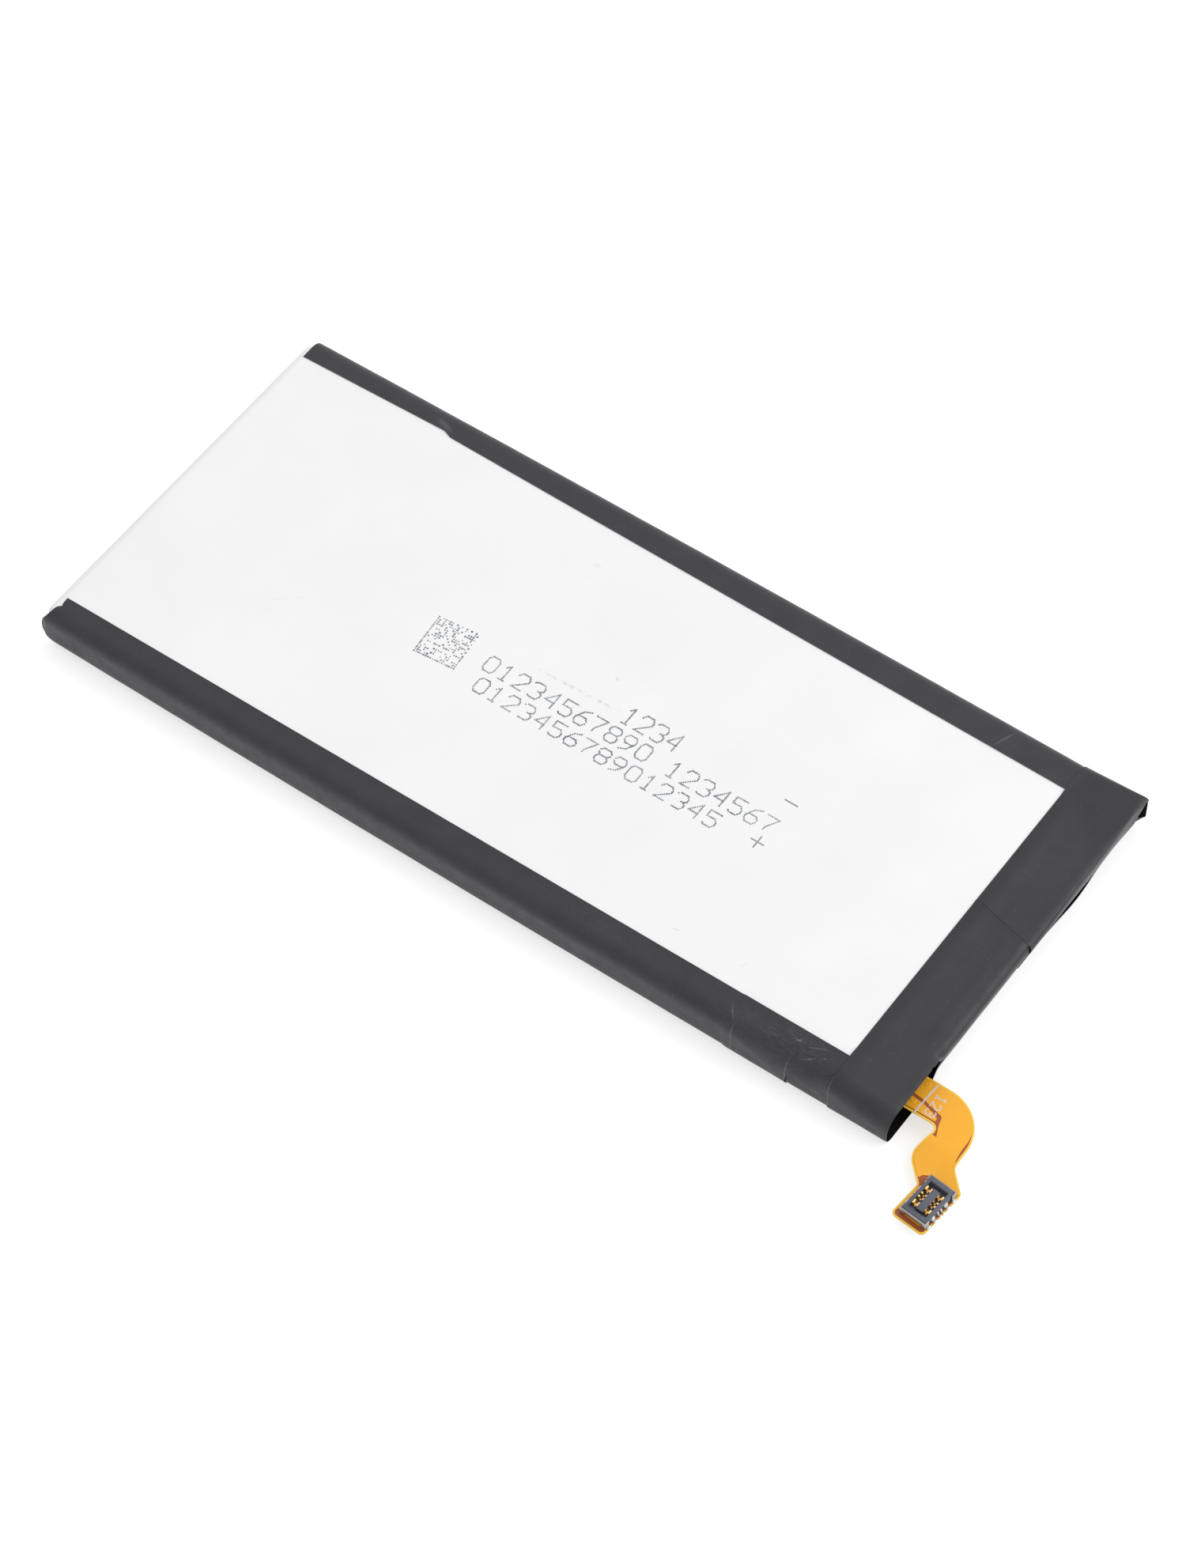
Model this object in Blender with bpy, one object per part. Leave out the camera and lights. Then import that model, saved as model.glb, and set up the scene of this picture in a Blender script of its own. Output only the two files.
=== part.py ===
"""Pouch battery pack of a mobile phone, with its protection board and flex tail.

The pack lies on its back. X runs along the cell to the taped head, Y runs across it and Z up
through the white face. The origin is the centre of the pouch's flat back. Sizes are written in
millimetres, and every vertex becomes metres when its mesh is made.
"""

import math

import bmesh
import bpy
from mathutils import Vector

MM = 0.001

# Pouch cell
CELL_LENGTH = 88.0
CELL_WIDTH = 39.64
CELL_THICKNESS = 4.4
SIDE_BOW = 0.2
EDGE_RADIUS = 1.2
TAIL_RADIUS = 1.3
HEAD_RADIUS = 0.8
TERRACE_LENGTH = 2.6
TERRACE_THICKNESS = 0.25
TERRACE_RISE = 0.3
TERRACE_SIDE_MARGIN = 1.2
SEAM_THICKNESS = 0.37
SEAM_EDGE_MARGIN = 0.05
PANEL_PROUD = 0.03
PANEL_FROM_TAPE = 0.3

# Adhesive tape and the space that its glue takes
TAPE = 0.06
GLUE = 0.02
UNDER_LIP = 2.9
NEAR_LIP = 3.0
NEAR_EDGE_DRIFT = 0.57
FAR_TAIL_LIP = 3.14
FAR_LIP = 2.66
FAR_EDGE_DRIFT = 0.96
FAR_STEP = 0.46
FAR_STEP_FROM_TAIL = 16.5
FAR_STEP_RUN = 0.9
FAR_TAIL_MARGIN = 0.5
NEAR_TAIL_OVERHANG = 0.25
TAPE_TAIL_PINCH = 0.2
TAPE_TAIL_CURL = 0.5
TAPE_TAIL_NOTCH = 1.15
WRAP_STEP_LEAD = 0.6
WRAP_STEP_RUN = 0.5
CORNER_WRAP_LENGTH = 10.7
NEAR_END_FROM_LIP = 3.9
NEAR_END_SKEW = 2.2

# Head wrap
HEAD_LIP_ON_FACE = 1.0
FACE_LAP = 0.55
SHOULDER_REACH = 4.0
SHOULDER_DROP = 0.73
SLEEVE_RADIUS = 1.75
SEAM_CENTRE = 2.4
SEAM_DRIFT = -0.75
SEAM_OPENING = 0.05
MOUTH_FROM_SIDE = 7.3
MOUTH_TEAR = 1.8
UNDER_SEAM_Y = 1.0
LIP_FLAT = 0.8
FIRST_ROW_FROM_MIDDLE = 3.0
FAR_FIRST_ROW = 4.0
FAR_LAST_ROW_MARGIN = 1.4
RISE_MARGIN = 3.6
RISE_RUN = 0.5
UNDER_SET_BACK = 0.6
FAR_FLARE = 0.35
FAR_LIFT = 0.5
FAR_RADIUS = 0.9
INNER_WRAP_END_GAP = 1.1
INNER_WRAP_LAP = 1.1
INNER_WRAP_START = 0.1
INNER_WRAP_FROM_MOUTH = 0.5
INNER_WRAP_LIFT = 0.04
# Each margin is three steps on from the shoulder, outwards and up
LAPPED_TOP = ((0.6, -0.2), (0.85, -0.85), (0.42, -2.15))
LAPPED_UNDER = ((0.6, 0.2), (0.78, 0.72), (0.85, 1.6))
OPEN_TOP = ((0.32, -0.06), (0.62, -0.12), (0.92, -0.2))
OPEN_UNDER = ((0.4, 0.0), (0.75, 0.0), (1.05, 0.02))
RIM_TOP = ((0.55, -0.12), (0.85, -0.28), (1.0, -0.55))
RIM_UNDER = ((0.55, 0.1), (0.75, 0.35), (0.9, 0.8))
CORNER_TOP = ((0.55, -0.05), (0.9, -0.1), (1.2, -0.2))
CORNER_UNDER = ((0.6, 0.1), (0.95, 0.3), (1.25, 0.7))
INNER_NOSE = ((0.4, -0.25), (0.55, -0.8), (0.4, -1.3), (0.2, -2.0), (0.08, -3.0), (-0.15, -3.5))
SEAM_BULGE = (0.0, 0.45, 0.5, 0.35, 0.1, 0.0)
CORNER_BULGE = (0.15, 0.65, 0.75, 0.55, 0.25, 0.0)

# Protection board, in the space over the terrace
CLEARANCE = 0.02
INSULATOR_THICKNESS = 0.1
BOARD_WIDTH = 3.4
BOARD_THICKNESS = 0.8
BOARD_LENGTH = 29.8
BOARD_NEAR_MARGIN = 2.5
BOARD_FROM_BODY = 0.25
INSULATOR_FROM_BODY = 0.1
INSULATOR_FROM_END = 0.05
LEAF = 0.1
TAB_WIDTH = 3.6
POSITIVE_TAB_ALONG = 10.92
NEGATIVE_TAB_ALONG = 23.32
TAB_REACH = 0.72
TAB_LANDING = 2.7
FILM_WIDTH = 5.2
FILM_LENGTH = 0.5
FILM_WALL = 0.05
CUTOFF_LENGTH = 3.4
CUTOFF_WIDTH = 2.6
CUTOFF_HEIGHT = 0.8
CUTOFF_LEAD_LAP = 0.6
LEAD_WIDTH = 2.4
WELD_PLATE_MARGIN = 0.2
INSULATOR_OVERHANG = 0.2
COVER_WIDTH = 3.9
COVER_FROM_BODY = 0.15
COVER_END_MARGIN = 0.1
MOSFETS_ALONG = 14.92
IC_ALONG = 18.02
SENSE_ALONG = 20.12
FILTER_ALONG = 26.42
BYPASS_ALONG = 27.92
IDENTITY_ALONG = 29.12
# Sizes of the chips across the board, along it and upwards
MOSFETS_SIZE = (2.0, 2.9, 0.7)
IC_SIZE = (1.5, 1.9, 0.6)
SENSE_SIZE = (1.6, 0.85, 0.4)
CAPACITOR_SIZE = (0.55, 1.0, 0.5)
IDENTITY_SIZE = (1.0, 0.5, 0.35)

# Flex tail
FLEX_WIDTH = 3.55
FLEX_FILM = 0.1
COPPER_FILM = 0.035
COPPER_GLUE = 0.01
COPPER_MARGIN = 0.3
FLEX_ROOT_MARGIN = 1.0
FLEX_FROM_SIDE = 3.1
FLEX_OUT = 8.45
FLEX_BEND_RADIUS = 4.2
FLEX_DROP = 0.7
DROOP_START = 0.78
DROOP_RUN = 3.4
DROOP_STEPS = 6
PLANE_SPLIT = 1.25
PLANE_GAP = 0.15
PLANE_REACH = 3.25

# Board-to-board connector, on its own turned seat
CONNECTOR_OUT = 8.36
CONNECTOR_ALONG = 6.24
CONNECTOR_TURN = -5.3
HOUSING_WIDTH = 2.4
HOUSING_LENGTH = 3.8
HOUSING_HEIGHT = 0.85
HOUSING_WALL = 0.28
HOUSING_END_WALL = 0.4
SOCKET_FLOOR = 0.3
POCKET_FLOOR = 0.12
POCKET_LENGTH = 0.34
ISLAND_WIDTH = 0.68
ISLAND_LENGTH = 2.3
ISLAND_HEIGHT = 0.7
CONTACT_LEAF = 0.08
CONTACT_FINE = 0.22
CONTACT_WIDE = 0.46
CONTACT_FINE_AT = 0.2
CONTACT_WIDE_AT = 0.82
CONTACT_TIP_DROP = 0.05
CONTACT_TAIL = 0.3
NAIL_LEAF = 0.12
NAIL_RETURN = 0.4
NAIL_HEIGHT = 0.8
NAIL_LEG = 0.5
NAIL_ARCH = 0.4
TAB_PAST_TAILS = 0.3
TAB_PAST_BACK = 0.65
TAB_PAST_END = 0.55
TAB_NECK = 0.95
STIFFENER_THICKNESS = 0.2
STIFFENER_MARGIN = 0.1

# Places that follow from the sizes above
TAIL_X = -CELL_LENGTH / 2
TERRACE_X = CELL_LENGTH / 2
BODY_HEAD_X = TERRACE_X - TERRACE_LENGTH
LIP_X = BODY_HEAD_X - HEAD_LIP_ON_FACE
LAYER = TAPE + GLUE
TWO_LAYERS = LAYER + LAYER
FLOOR_Z = -TWO_LAYERS
FACE_LAP_X = LIP_X + FACE_LAP
CORNER_WRAP_X = FACE_LAP_X - CORNER_WRAP_LENGTH
SHOULDER_X = BODY_HEAD_X + SHOULDER_REACH
SHOULDER_Z = CELL_THICKNESS + LAYER - SHOULDER_DROP
UNDER_SHOULDER_X = SHOULDER_X - UNDER_SET_BACK
END_HALF = CELL_WIDTH / 2 - SIDE_BOW
MOUTH_Y = MOUTH_FROM_SIDE - END_HALF
RISE_Y = END_HALF - RISE_MARGIN
TERRACE_Z = TERRACE_RISE + TERRACE_THICKNESS
BOARD_Z = TERRACE_Z + INSULATOR_THICKNESS + 2 * CLEARANCE
BOARD_TOP = BOARD_Z + BOARD_THICKNESS
BOARD_X = BODY_HEAD_X + BOARD_FROM_BODY
BOARD_Y = BOARD_NEAR_MARGIN - END_HALF
LEAF_Z = BOARD_TOP + CLEARANCE
CUTOFF_Z = LEAF_Z + LEAF + CLEARANCE
COVER_Z = CUTOFF_Z + CUTOFF_HEIGHT + CLEARANCE
FLEX_Z = BOARD_TOP + CLEARANCE
FLEX_TOP = FLEX_Z + FLEX_FILM
FLEX_Y = FLEX_FROM_SIDE - END_HALF
DROOP_Y = FLEX_Y - DROOP_START
CONNECTOR_X = TERRACE_X + CONNECTOR_OUT
CONNECTOR_Y = FLEX_Y - CONNECTOR_ALONG
CONNECTOR_Z = FLEX_TOP - FLEX_DROP + COPPER_GLUE + COPPER_FILM + CLEARANCE

ARC_STEPS = 5


def finish(name, colour, roughness, metallic=0.0):
    """One Principled material in a plain linear colour."""
    material = bpy.data.materials.new(name)
    material.use_nodes = True
    shader = material.node_tree.nodes["Principled BSDF"]
    shader.inputs["Base Color"].default_value = (*colour, 1.0)
    shader.inputs["Roughness"].default_value = roughness
    shader.inputs["Metallic"].default_value = metallic
    material.diffuse_color = (*colour, 1.0)
    return material


def add_object(name, mesh_maker, material, parent=None):
    """A named object from a bmesh whose vertices are in millimetres."""
    bmesh.ops.scale(mesh_maker, vec=(MM, MM, MM), verts=mesh_maker.verts)
    bmesh.ops.recalc_face_normals(mesh_maker, faces=mesh_maker.faces)
    mesh = bpy.data.meshes.new(name)
    mesh_maker.to_mesh(mesh)
    mesh_maker.free()
    mesh.materials.append(material)
    obj = bpy.data.objects.new(name, mesh)
    obj.parent = parent
    bpy.context.scene.collection.objects.link(obj)
    return obj


def as_cutter(obj):
    """Hides an object that only shapes another."""
    obj.hide_render = True
    obj.display_type = "WIRE"
    return obj


def combine(obj, other, operation):
    """Adds a Boolean modifier to obj."""
    modifier = obj.modifiers.new(operation.title(), "BOOLEAN")
    modifier.operation = operation
    modifier.solver = "EXACT"
    modifier.object = as_cutter(other)


def loft_mesh(loops):
    """A closed body through loops of equal length, capped at both ends."""
    shape = bmesh.new()
    rings = [[shape.verts.new(point) for point in loop] for loop in loops]
    count = len(rings[0])
    for first, second in zip(rings, rings[1:]):
        for i in range(count):
            j = (i + 1) % count
            shape.faces.new((first[i], first[j], second[j], second[i]))
    shape.faces.new(reversed(rings[0]))
    shape.faces.new(rings[-1])
    return shape


def prism(outline, low, high):
    """A level plate from a plan outline."""
    return loft_mesh([[(x, y, z) for x, y in outline] for z in (low, high)])


def block(low, high):
    """A box from its lowest and its highest corner."""
    corners = ((low[0], low[1]), (high[0], low[1]), (high[0], high[1]), (low[0], high[1]))
    return prism(corners, low[2], high[2])


def profile_bar(profile, low_y, high_y):
    """An XZ profile drawn out along Y."""
    return loft_mesh([[(x, y, z) for x, z in profile] for y in (low_y, high_y)])


def rounded_outline(corners, steps=4):
    """A plan outline whose corners (x, y, radius) are turned into arcs."""
    outline = []
    for index, (x, y, radius) in enumerate(corners):
        corner = Vector((x, y))
        before = Vector(corners[index - 1][:2]) - corner
        after = Vector(corners[(index + 1) % len(corners)][:2]) - corner
        if radius <= 0:
            outline.append(tuple(corner))
            continue
        half_angle = before.angle(after) / 2
        centre = corner + (before.normalized() + after.normalized()).normalized() * (
            radius / math.sin(half_angle)
        )
        start = corner + before.normalized() * (radius / math.tan(half_angle)) - centre
        sweep = math.pi - 2 * half_angle
        turn = -sweep if before.cross(after) > 0 else sweep
        count = max(steps, round(steps * sweep * radius / 2))
        for step in range(count + 1):
            angle = turn * step / count
            cosine, sine = math.cos(angle), math.sin(angle)
            arm = Vector((start.x * cosine - start.y * sine, start.x * sine + start.y * cosine))
            outline.append(tuple(centre + arm))
    return outline


def inset_outline(outline, distance):
    """A plan outline moved inwards by the same distance all round."""
    area = sum(
        a[0] * b[1] - b[0] * a[1] for a, b in zip(outline, outline[1:] + outline[:1])
    )
    inward = distance if area > 0 else -distance
    moved = []
    for index, point in enumerate(outline):
        here = Vector(point)
        back = (here - Vector(outline[index - 1])).normalized()
        ahead = (Vector(outline[(index + 1) % len(outline)]) - here).normalized()
        normal = Vector((-back.y - ahead.y, back.x + ahead.x)).normalized()
        slant = max(normal.dot(Vector((-ahead.y, ahead.x))), 0.3)
        moved.append(tuple(here + normal * (inward / slant)))
    return moved


def sheet(name, rows, inside, material):
    """Tape whose outer face is a grid of points, with its thickness on the side of inside."""
    shape = bmesh.new()
    grid = [[shape.verts.new(point) for point in row] for row in rows]
    for upper, lower in zip(grid, grid[1:]):
        for j in range(len(upper) - 1):
            shape.faces.new((upper[j], upper[j + 1], lower[j + 1], lower[j]))
    shape.normal_update()
    face = shape.faces[:][0]
    if face.normal.dot(face.calc_center_median() - Vector(inside)) < 0:
        bmesh.ops.reverse_faces(shape, faces=shape.faces)
    bmesh.ops.scale(shape, vec=(MM, MM, MM), verts=shape.verts)
    mesh = bpy.data.meshes.new(name)
    shape.to_mesh(mesh)
    shape.free()
    mesh.materials.append(material)
    obj = bpy.data.objects.new(name, mesh)
    bpy.context.scene.collection.objects.link(obj)
    solid = obj.modifiers.new("Tape thickness", "SOLIDIFY")
    solid.thickness = TAPE * MM
    solid.offset = -1.0
    solid.use_even_offset = True
    return obj


def spread(first, last, steps):
    """Evenly spaced values from first to last."""
    return [first + (last - first) * i / steps for i in range(steps + 1)]


def ease(value):
    """Smooth step from 0 to 1."""
    value = min(max(value, 0.0), 1.0)
    return value * value * (3 - 2 * value)


def mix(first, second, share):
    """Steps of two margins blended."""
    return [
        tuple(a + (b - a) * share for a, b in zip(one, two)) for one, two in zip(first, second)
    ]


def half_width(x):
    """Half the cell's width over its folded seams, bowed out along the middle."""
    return CELL_WIDTH / 2 - SIDE_BOW * (x / (CELL_LENGTH / 2)) ** 2


def body_section(x, inset):
    """Closed YZ outline of the drawn body at x."""
    half = half_width(x) - SEAM_THICKNESS - inset
    radius = max(EDGE_RADIUS - 0.2 - inset, 0.15)
    loop = []
    for quarter, (side, high) in enumerate(((1, True), (-1, True), (-1, False), (1, False))):
        centre_y = side * (half - radius)
        from_face = PANEL_PROUD + inset + radius
        centre_z = CELL_THICKNESS - from_face if high else from_face
        for step in range(ARC_STEPS):
            angle = math.radians(90 * quarter + 90 * step / (ARC_STEPS - 1))
            y = centre_y + radius * math.cos(angle)
            loop.append((x, y, centre_z + radius * math.sin(angle)))
    return loop


def build_cell(white):
    """Drawn pouch body with its flat panels, folded side seams and terrace at the head."""
    loops = []
    for angle in spread(0, math.pi / 2, 4):
        inset = TAIL_RADIUS * (1 - math.sin(angle))
        loops.append(body_section(TAIL_X + TAIL_RADIUS * (1 - math.cos(angle)), inset))
    straight = spread(TAIL_X + TAIL_RADIUS, BODY_HEAD_X - HEAD_RADIUS, 7)
    loops += [body_section(x, 0.0) for x in straight[1:-1]]
    for angle in spread(math.pi / 2, 0, 3):
        inset = HEAD_RADIUS * (1 - math.sin(angle))
        loops.append(body_section(BODY_HEAD_X - HEAD_RADIUS * (1 - math.cos(angle)), inset))
    cell = add_object("pouch_cell", loft_mesh(loops), white)
    low = EDGE_RADIUS + SEAM_EDGE_MARGIN
    high = CELL_THICKNESS - low
    for side, label in ((-1, "near"), (1, "far")):
        seam = []
        for x in straight:
            inner, outer = side * (half_width(x) - 2 * SEAM_THICKNESS), side * half_width(x)
            seam.append([(x, inner, low), (x, outer, low), (x, outer, high), (x, inner, high)])
        combine(cell, add_object(f"seam_{label}", loft_mesh(seam), white), "UNION")
    panel_y = END_HALF - UNDER_LIP - PANEL_FROM_TAPE
    panel = block(
        (TAIL_X + TAIL_RADIUS + PANEL_FROM_TAPE, -panel_y, 0.0),
        (LIP_X - PANEL_FROM_TAPE, panel_y, CELL_THICKNESS),
    )
    combine(cell, add_object("flat_panels", panel, white), "UNION")
    width = END_HALF - TERRACE_SIDE_MARGIN
    inside = BODY_HEAD_X - HEAD_RADIUS
    terrace = block((inside, -width, TERRACE_RISE), (TERRACE_X, width, TERRACE_Z))
    combine(cell, add_object("terrace", terrace, white), "UNION")


def side_path(x, side, offset, edge_y):
    """YZ points of tape round one long edge, from its cut edge on the face to the back."""
    half = half_width(x) + offset
    radius = EDGE_RADIUS + offset
    centre = half - radius
    high = CELL_THICKNESS - EDGE_RADIUS
    path = [(edge_y, CELL_THICKNESS + offset)]
    for angle in spread(0, math.pi / 2, ARC_STEPS):
        path.append((side * (centre + radius * math.sin(angle)), high + radius * math.cos(angle)))
    for angle in spread(0, math.pi / 2, ARC_STEPS):
        y = centre + radius * math.cos(angle)
        path.append((side * y, EDGE_RADIUS - radius * math.sin(angle)))
    path.append((side * (half - UNDER_LIP), -offset))
    return path


def edge_tape(name, side, stations, offset, edge_y, start, end, material):
    """Tape along one long edge, where start and end give its cut ends along the path."""
    count = len(side_path(0, side, LAYER, 0))
    rows = []
    for i in range(count):
        row = []
        for x in [start(i), start(i) + TAPE_TAIL_CURL, *stations, end(i)]:
            y, z = side_path(x, side, offset(x), edge_y(x))[i]
            row.append((x, y, z))
        rows.append(row)
    return sheet(name, rows, (0, 0, CELL_THICKNESS / 2), material)


def build_side_tapes(black):
    """Both long tapes, and the short wrap under the near tape's head end."""
    near_tail = TAIL_X - NEAR_TAIL_OVERHANG
    far_tail = TAIL_X + FAR_TAIL_MARGIN

    def pinch(x, tail):
        return TAPE_TAIL_PINCH * ease((tail + TAPE_TAIL_CURL - x) / TAPE_TAIL_CURL)

    def near_offset(x):
        return LAYER * (1 + ease((x - CORNER_WRAP_X + WRAP_STEP_LEAD) / WRAP_STEP_RUN)) - pinch(x, near_tail)

    def near_start(i):
        return near_tail + TAPE_TAIL_NOTCH * (1 - min(i, 2) / 2)

    def near_end(i):
        return FACE_LAP_X - NEAR_END_FROM_LIP + NEAR_END_SKEW * (1 - min(i, 2) / 2)

    def near_edge(x):
        return NEAR_LIP - CELL_WIDTH / 2 + NEAR_EDGE_DRIFT * x / CELL_LENGTH

    def far_edge(x):
        from_step = x - (TAIL_X + FAR_STEP_FROM_TAIL)
        if from_step < 0:
            growth = (FAR_LIP - FAR_STEP - FAR_TAIL_LIP) * (1 + from_step / FAR_STEP_FROM_TAIL)
            return CELL_WIDTH / 2 - FAR_TAIL_LIP - growth
        before_step = FAR_STEP * (1 - ease(from_step / FAR_STEP_RUN))
        drift = FAR_EDGE_DRIFT * from_step / (CELL_LENGTH - FAR_STEP_FROM_TAIL)
        return CELL_WIDTH / 2 - FAR_LIP + before_step - drift

    rise = [CORNER_WRAP_X - WRAP_STEP_LEAD, CORNER_WRAP_X - WRAP_STEP_LEAD + WRAP_STEP_RUN]
    after_tail = near_tail + TAPE_TAIL_NOTCH + TAPE_TAIL_CURL
    near_stations = spread(after_tail + TAPE_TAIL_CURL, rise[0], 6) + rise[1:]
    edge_tape(
        "near_side_tape", -1, near_stations, near_offset, near_edge, near_start, near_end, black
    )
    step = TAIL_X + FAR_STEP_FROM_TAIL
    far_stations = [(far_tail + step) / 2, step, step + FAR_STEP_RUN / 2, step + FAR_STEP_RUN]
    far_stations += spread(step + FAR_STEP_RUN, FACE_LAP_X, 6)[1:-1]
    edge_tape(
        "far_side_tape",
        1,
        far_stations,
        lambda x: LAYER - pinch(x, far_tail),
        far_edge,
        lambda i: far_tail,
        lambda i: FACE_LAP_X,
        black,
    )
    edge_tape(
        "corner_wrap",
        -1,
        spread(CORNER_WRAP_X, FACE_LAP_X, 3)[1:-1],
        lambda x: LAYER,
        near_edge,
        lambda i: CORNER_WRAP_X,
        lambda i: FACE_LAP_X,
        black,
    )


def head_columns(raised, steps, under):
    """XZ points of the head tape's outer face across its width, on the top or underneath."""
    if under:
        inner = [(LIP_X, FLOOR_Z), (LIP_X + LIP_FLAT, FLOOR_Z)]
        inner += [(x, FLOOR_Z) for x in spread(LIP_X + LIP_FLAT, UNDER_SHOULDER_X, 3)[1:]]
        shoulder = (UNDER_SHOULDER_X, FLOOR_Z)
    else:
        top = CELL_THICKNESS + LAYER
        edge = top + (LAYER if raised else 0.0)
        inner = [(LIP_X, edge), (LIP_X + LIP_FLAT, edge)]
        slope_x = spread(LIP_X + LIP_FLAT, SHOULDER_X, 3)
        slope = list(zip(slope_x, spread(top, SHOULDER_Z, 3)))
        inner += slope[1:]
        shoulder = (SHOULDER_X, SHOULDER_Z)
    return inner + [(shoulder[0] + out, shoulder[1] + up) for out, up in steps]


def seam_y(x):
    """Where the near and far head tapes meet."""
    return SEAM_CENTRE + SEAM_DRIFT * (x - LIP_X) / (SHOULDER_X - LIP_X)


def head_tape(name, side, flat_rows, under_rows, margins, bend, material):
    """One head tape: across the top, round one long side and back underneath.

    bend is the radius at its outer edge, and how far that edge is flared out and lifted there.
    """
    sleeve, flare, lift = bend
    rows = []

    def level(y_of, under, raised):
        columns = head_columns(raised, margins(y_of(SHOULDER_X))[under], under)
        rows.append([(x, y_of(x), z) for x, z in columns])

    level(lambda x: seam_y(x) + side * SEAM_OPENING / 2, False, False)
    for y in flat_rows:
        level(lambda x: y, False, abs(y) >= RISE_Y)
    side_margins = margins(side * END_HALF)
    top = head_columns(True, side_margins[0], False)
    back = head_columns(True, side_margins[1], True)
    bends = [(0, a) for a in spread(0, math.pi / 2, ARC_STEPS)]
    bends += [(1, a) for a in spread(0, math.pi / 2, ARC_STEPS)]
    for number, (lower, angle) in enumerate(bends):
        share = number / (len(bends) - 1)
        row = []
        for (top_x, top_z), (back_x, back_z) in zip(top, back):
            grown = (top_x - LIP_X) / (top[-1][0] - LIP_X)
            small = EDGE_RADIUS + TWO_LAYERS
            top_z += lift * grown
            radius = small + (sleeve - small) * grown
            radius = min(radius, (top_z - back_z) / 2 - GLUE)
            outermost = half_width(min(top_x, TERRACE_X)) + TWO_LAYERS + flare * grown**2
            centre = outermost - radius
            if lower:
                y, z = centre + radius * math.cos(angle), back_z + radius * (1 - math.sin(angle))
            else:
                y, z = centre + radius * math.sin(angle), top_z - radius * (1 - math.cos(angle))
            row.append((top_x + (back_x - top_x) * share, side * y, z))
        rows.append(row)
    for y in under_rows:
        level(lambda x: y, True, False)
    return sheet(name, rows, (LIP_X + 2, -side, CELL_THICKNESS / 2), material)


def build_head_wrap(black):
    """The inner wrap that closes the head, and the two tapes over it."""

    def near_margins(y):
        lapped = ease((y - MOUTH_Y + MOUTH_TEAR) / MOUTH_TEAR)
        return mix(OPEN_TOP, LAPPED_TOP, lapped), mix(OPEN_UNDER, LAPPED_UNDER, lapped)

    def far_margins(y):
        top = mix(RIM_TOP, CORNER_TOP, ease((y - 11) / 4))
        return top, mix(RIM_UNDER, CORNER_UNDER, ease((y - 13) / 6))

    tear = spread(MOUTH_Y, MOUTH_Y - MOUTH_TEAR, 4)
    near_top = [*spread(-FIRST_ROW_FROM_MIDDLE, MOUTH_Y, 2)[:-1], *tear, RISE_RUN - RISE_Y, -RISE_Y]
    near_under = [*reversed(tear), *spread(MOUTH_Y, -FIRST_ROW_FROM_MIDDLE, 2)[1:]]
    near_under.append(UNDER_SEAM_Y - SEAM_OPENING / 2)
    open_bend = (SLEEVE_RADIUS, 0.0, 0.0)
    head_tape("head_tape_near", -1, near_top, near_under, near_margins, open_bend, black)
    far_top = [*spread(FAR_FIRST_ROW, RISE_Y - RISE_RUN, 6), RISE_Y, RISE_Y + FAR_LAST_ROW_MARGIN]
    far_under = spread(RISE_Y, UNDER_SEAM_Y + SEAM_OPENING / 2, 3)
    pinched = (FAR_RADIUS, FAR_FLARE, FAR_LIFT)
    head_tape("head_tape_far", 1, far_top, far_under, far_margins, pinched, black)

    last_y = END_HALF - INNER_WRAP_END_GAP
    first_x = BODY_HEAD_X - INNER_WRAP_START
    floor_z = -LAYER + INNER_WRAP_LIFT
    rows = []
    for y in spread(MOUTH_Y + INNER_WRAP_FROM_MOUTH, last_y, 16):
        by_seam = math.sin(math.pi * min(max((y - 2.5) / 9.5, 0), 1))
        at_corner = ease((y - 12.5) / 3.5)
        slope = (SHOULDER_Z - CELL_THICKNESS - LAYER) / (SHOULDER_X - LIP_X - LIP_FLAT)
        row = []
        for x in (first_x, (first_x + SHOULDER_X) / 2, SHOULDER_X):
            row.append((x, y, SHOULDER_Z + slope * (x - SHOULDER_X) - TWO_LAYERS))
        for (out, up), by, at in zip(INNER_NOSE, SEAM_BULGE, CORNER_BULGE):
            x = SHOULDER_X + out + by * by_seam + at * at_corner
            row.append((x, y, SHOULDER_Z + up))
        row.append((UNDER_SHOULDER_X - LAYER, y, floor_z))
        row.append((BODY_HEAD_X + INNER_WRAP_LAP, y, floor_z))
        rows.append(row)
    sheet("head_inner_wrap", rows, (SHOULDER_X, MOUTH_Y, CELL_THICKNESS / 2), black)


def tab_profile():
    """XZ outline of a tab: out of the terrace, round and back over the board."""
    level = TERRACE_RISE + TERRACE_THICKNESS / 2
    landing = LEAF_Z + LEAF + CLEARANCE + LEAF / 2
    radius = (landing - level) / 2
    turn_x = TERRACE_X + TAB_REACH
    start_x = TERRACE_X + CLEARANCE
    outer, inner = [(start_x, level - LEAF / 2)], [(start_x, level + LEAF / 2)]
    for angle in spread(-math.pi / 2, math.pi / 2, 8):
        for side, wall in ((outer, radius + LEAF / 2), (inner, radius - LEAF / 2)):
            side.append(
                (turn_x + wall * math.cos(angle), level + radius + wall * math.sin(angle))
            )
    outer.append((turn_x - TAB_LANDING, landing + LEAF / 2))
    inner.append((turn_x - TAB_LANDING, landing - LEAF / 2))
    return outer + inner[::-1]


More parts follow.
